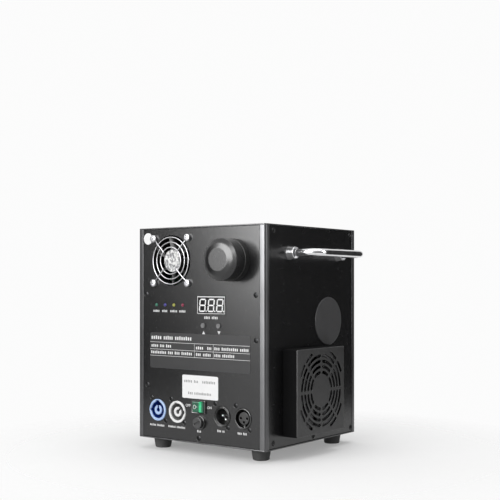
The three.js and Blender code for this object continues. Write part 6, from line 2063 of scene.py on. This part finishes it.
class SPARK_OT_handle(bpy.types.Operator):
    """Make the carrying handle, its bosses and the reader window"""

    bl_idname = "spark.handle"
    bl_label = "Handle and Window"

    def execute(self, context):
        build_handle(sizes_of(context, "handle"), finishes())
        build_reader_window(finishes())
        return {"FINISHED"}


class SPARK_OT_side_fan(bpy.types.Operator):
    """Make the large fan and its pressed cover"""

    bl_idname = "spark.side_fan"
    bl_label = "Large Fan and Cover"

    def execute(self, context):
        build_side_fan(sizes_of(context, "fans"), finishes())
        return {"FINISHED"}


class SPARK_OT_inner(bpy.types.Operator):
    """Give the inner parts their finishes"""

    bl_idname = "spark.inner"
    bl_label = "Inner Parts"

    def execute(self, context):
        dress_inner_nodes(finishes())
        return {"FINISHED"}


class SPARK_OT_studio(bpy.types.Operator):
    """Set up the floor, backdrop, lights and camera"""

    bl_idname = "spark.studio"
    bl_label = "Studio"

    def execute(self, context):
        stage = context.scene.spark_machine.studio
        context.scene.view_settings.view_transform = "Standard"
        build_world(stage)
        build_floor(stage)
        build_lights(stage)
        build_camera(stage)
        return {"FINISHED"}


class SPARK_PT_machine(bpy.types.Panel):
    """Lists the machine's operators and settings"""

    bl_label = "Cold Spark Machine"
    bl_idname = "SPARK_PT_machine"
    bl_space_type = "VIEW_3D"
    bl_region_type = "UI"
    bl_category = "Spark Machine"

    def draw(self, context):
        for operator in OPERATORS:
            self.layout.operator(operator.bl_idname)
        settings = context.scene.spark_machine
        for group_name in settings.__annotations__:
            group, box = getattr(settings, group_name), self.layout.box()
            for name in group.__annotations__:
                box.prop(group, name)


OPERATORS = (
    SPARK_OT_housing, SPARK_OT_outlet, SPARK_OT_panel_fan, SPARK_OT_filler, SPARK_OT_controls, SPARK_OT_print,
    SPARK_OT_sockets, SPARK_OT_switch, SPARK_OT_handle, SPARK_OT_side_fan, SPARK_OT_inner, SPARK_OT_studio,
)
GROUPS = (
    HousingSizes, FanSizes, ControlSizes, HandleSizes, FinishColours, StudioSettings, SparkMachineSettings,
)


def register():
    """Registers the settings, operators and panel."""
    for item in (*GROUPS, *OPERATORS, SPARK_PT_machine):
        bpy.utils.register_class(item)
    bpy.types.Scene.spark_machine = PointerProperty(type=SparkMachineSettings)


def unregister():
    """Takes the settings, operators and panel away again."""
    del bpy.types.Scene.spark_machine
    for item in (SPARK_PT_machine, *reversed(OPERATORS), *reversed(GROUPS)):
        bpy.utils.unregister_class(item)


def main():
    """Makes every piece and the studio."""
    register()
    for operator in OPERATORS:
        group, name = operator.bl_idname.split(".")
        getattr(getattr(bpy.ops, group), name)()


if __name__ == "__main__":
    main()
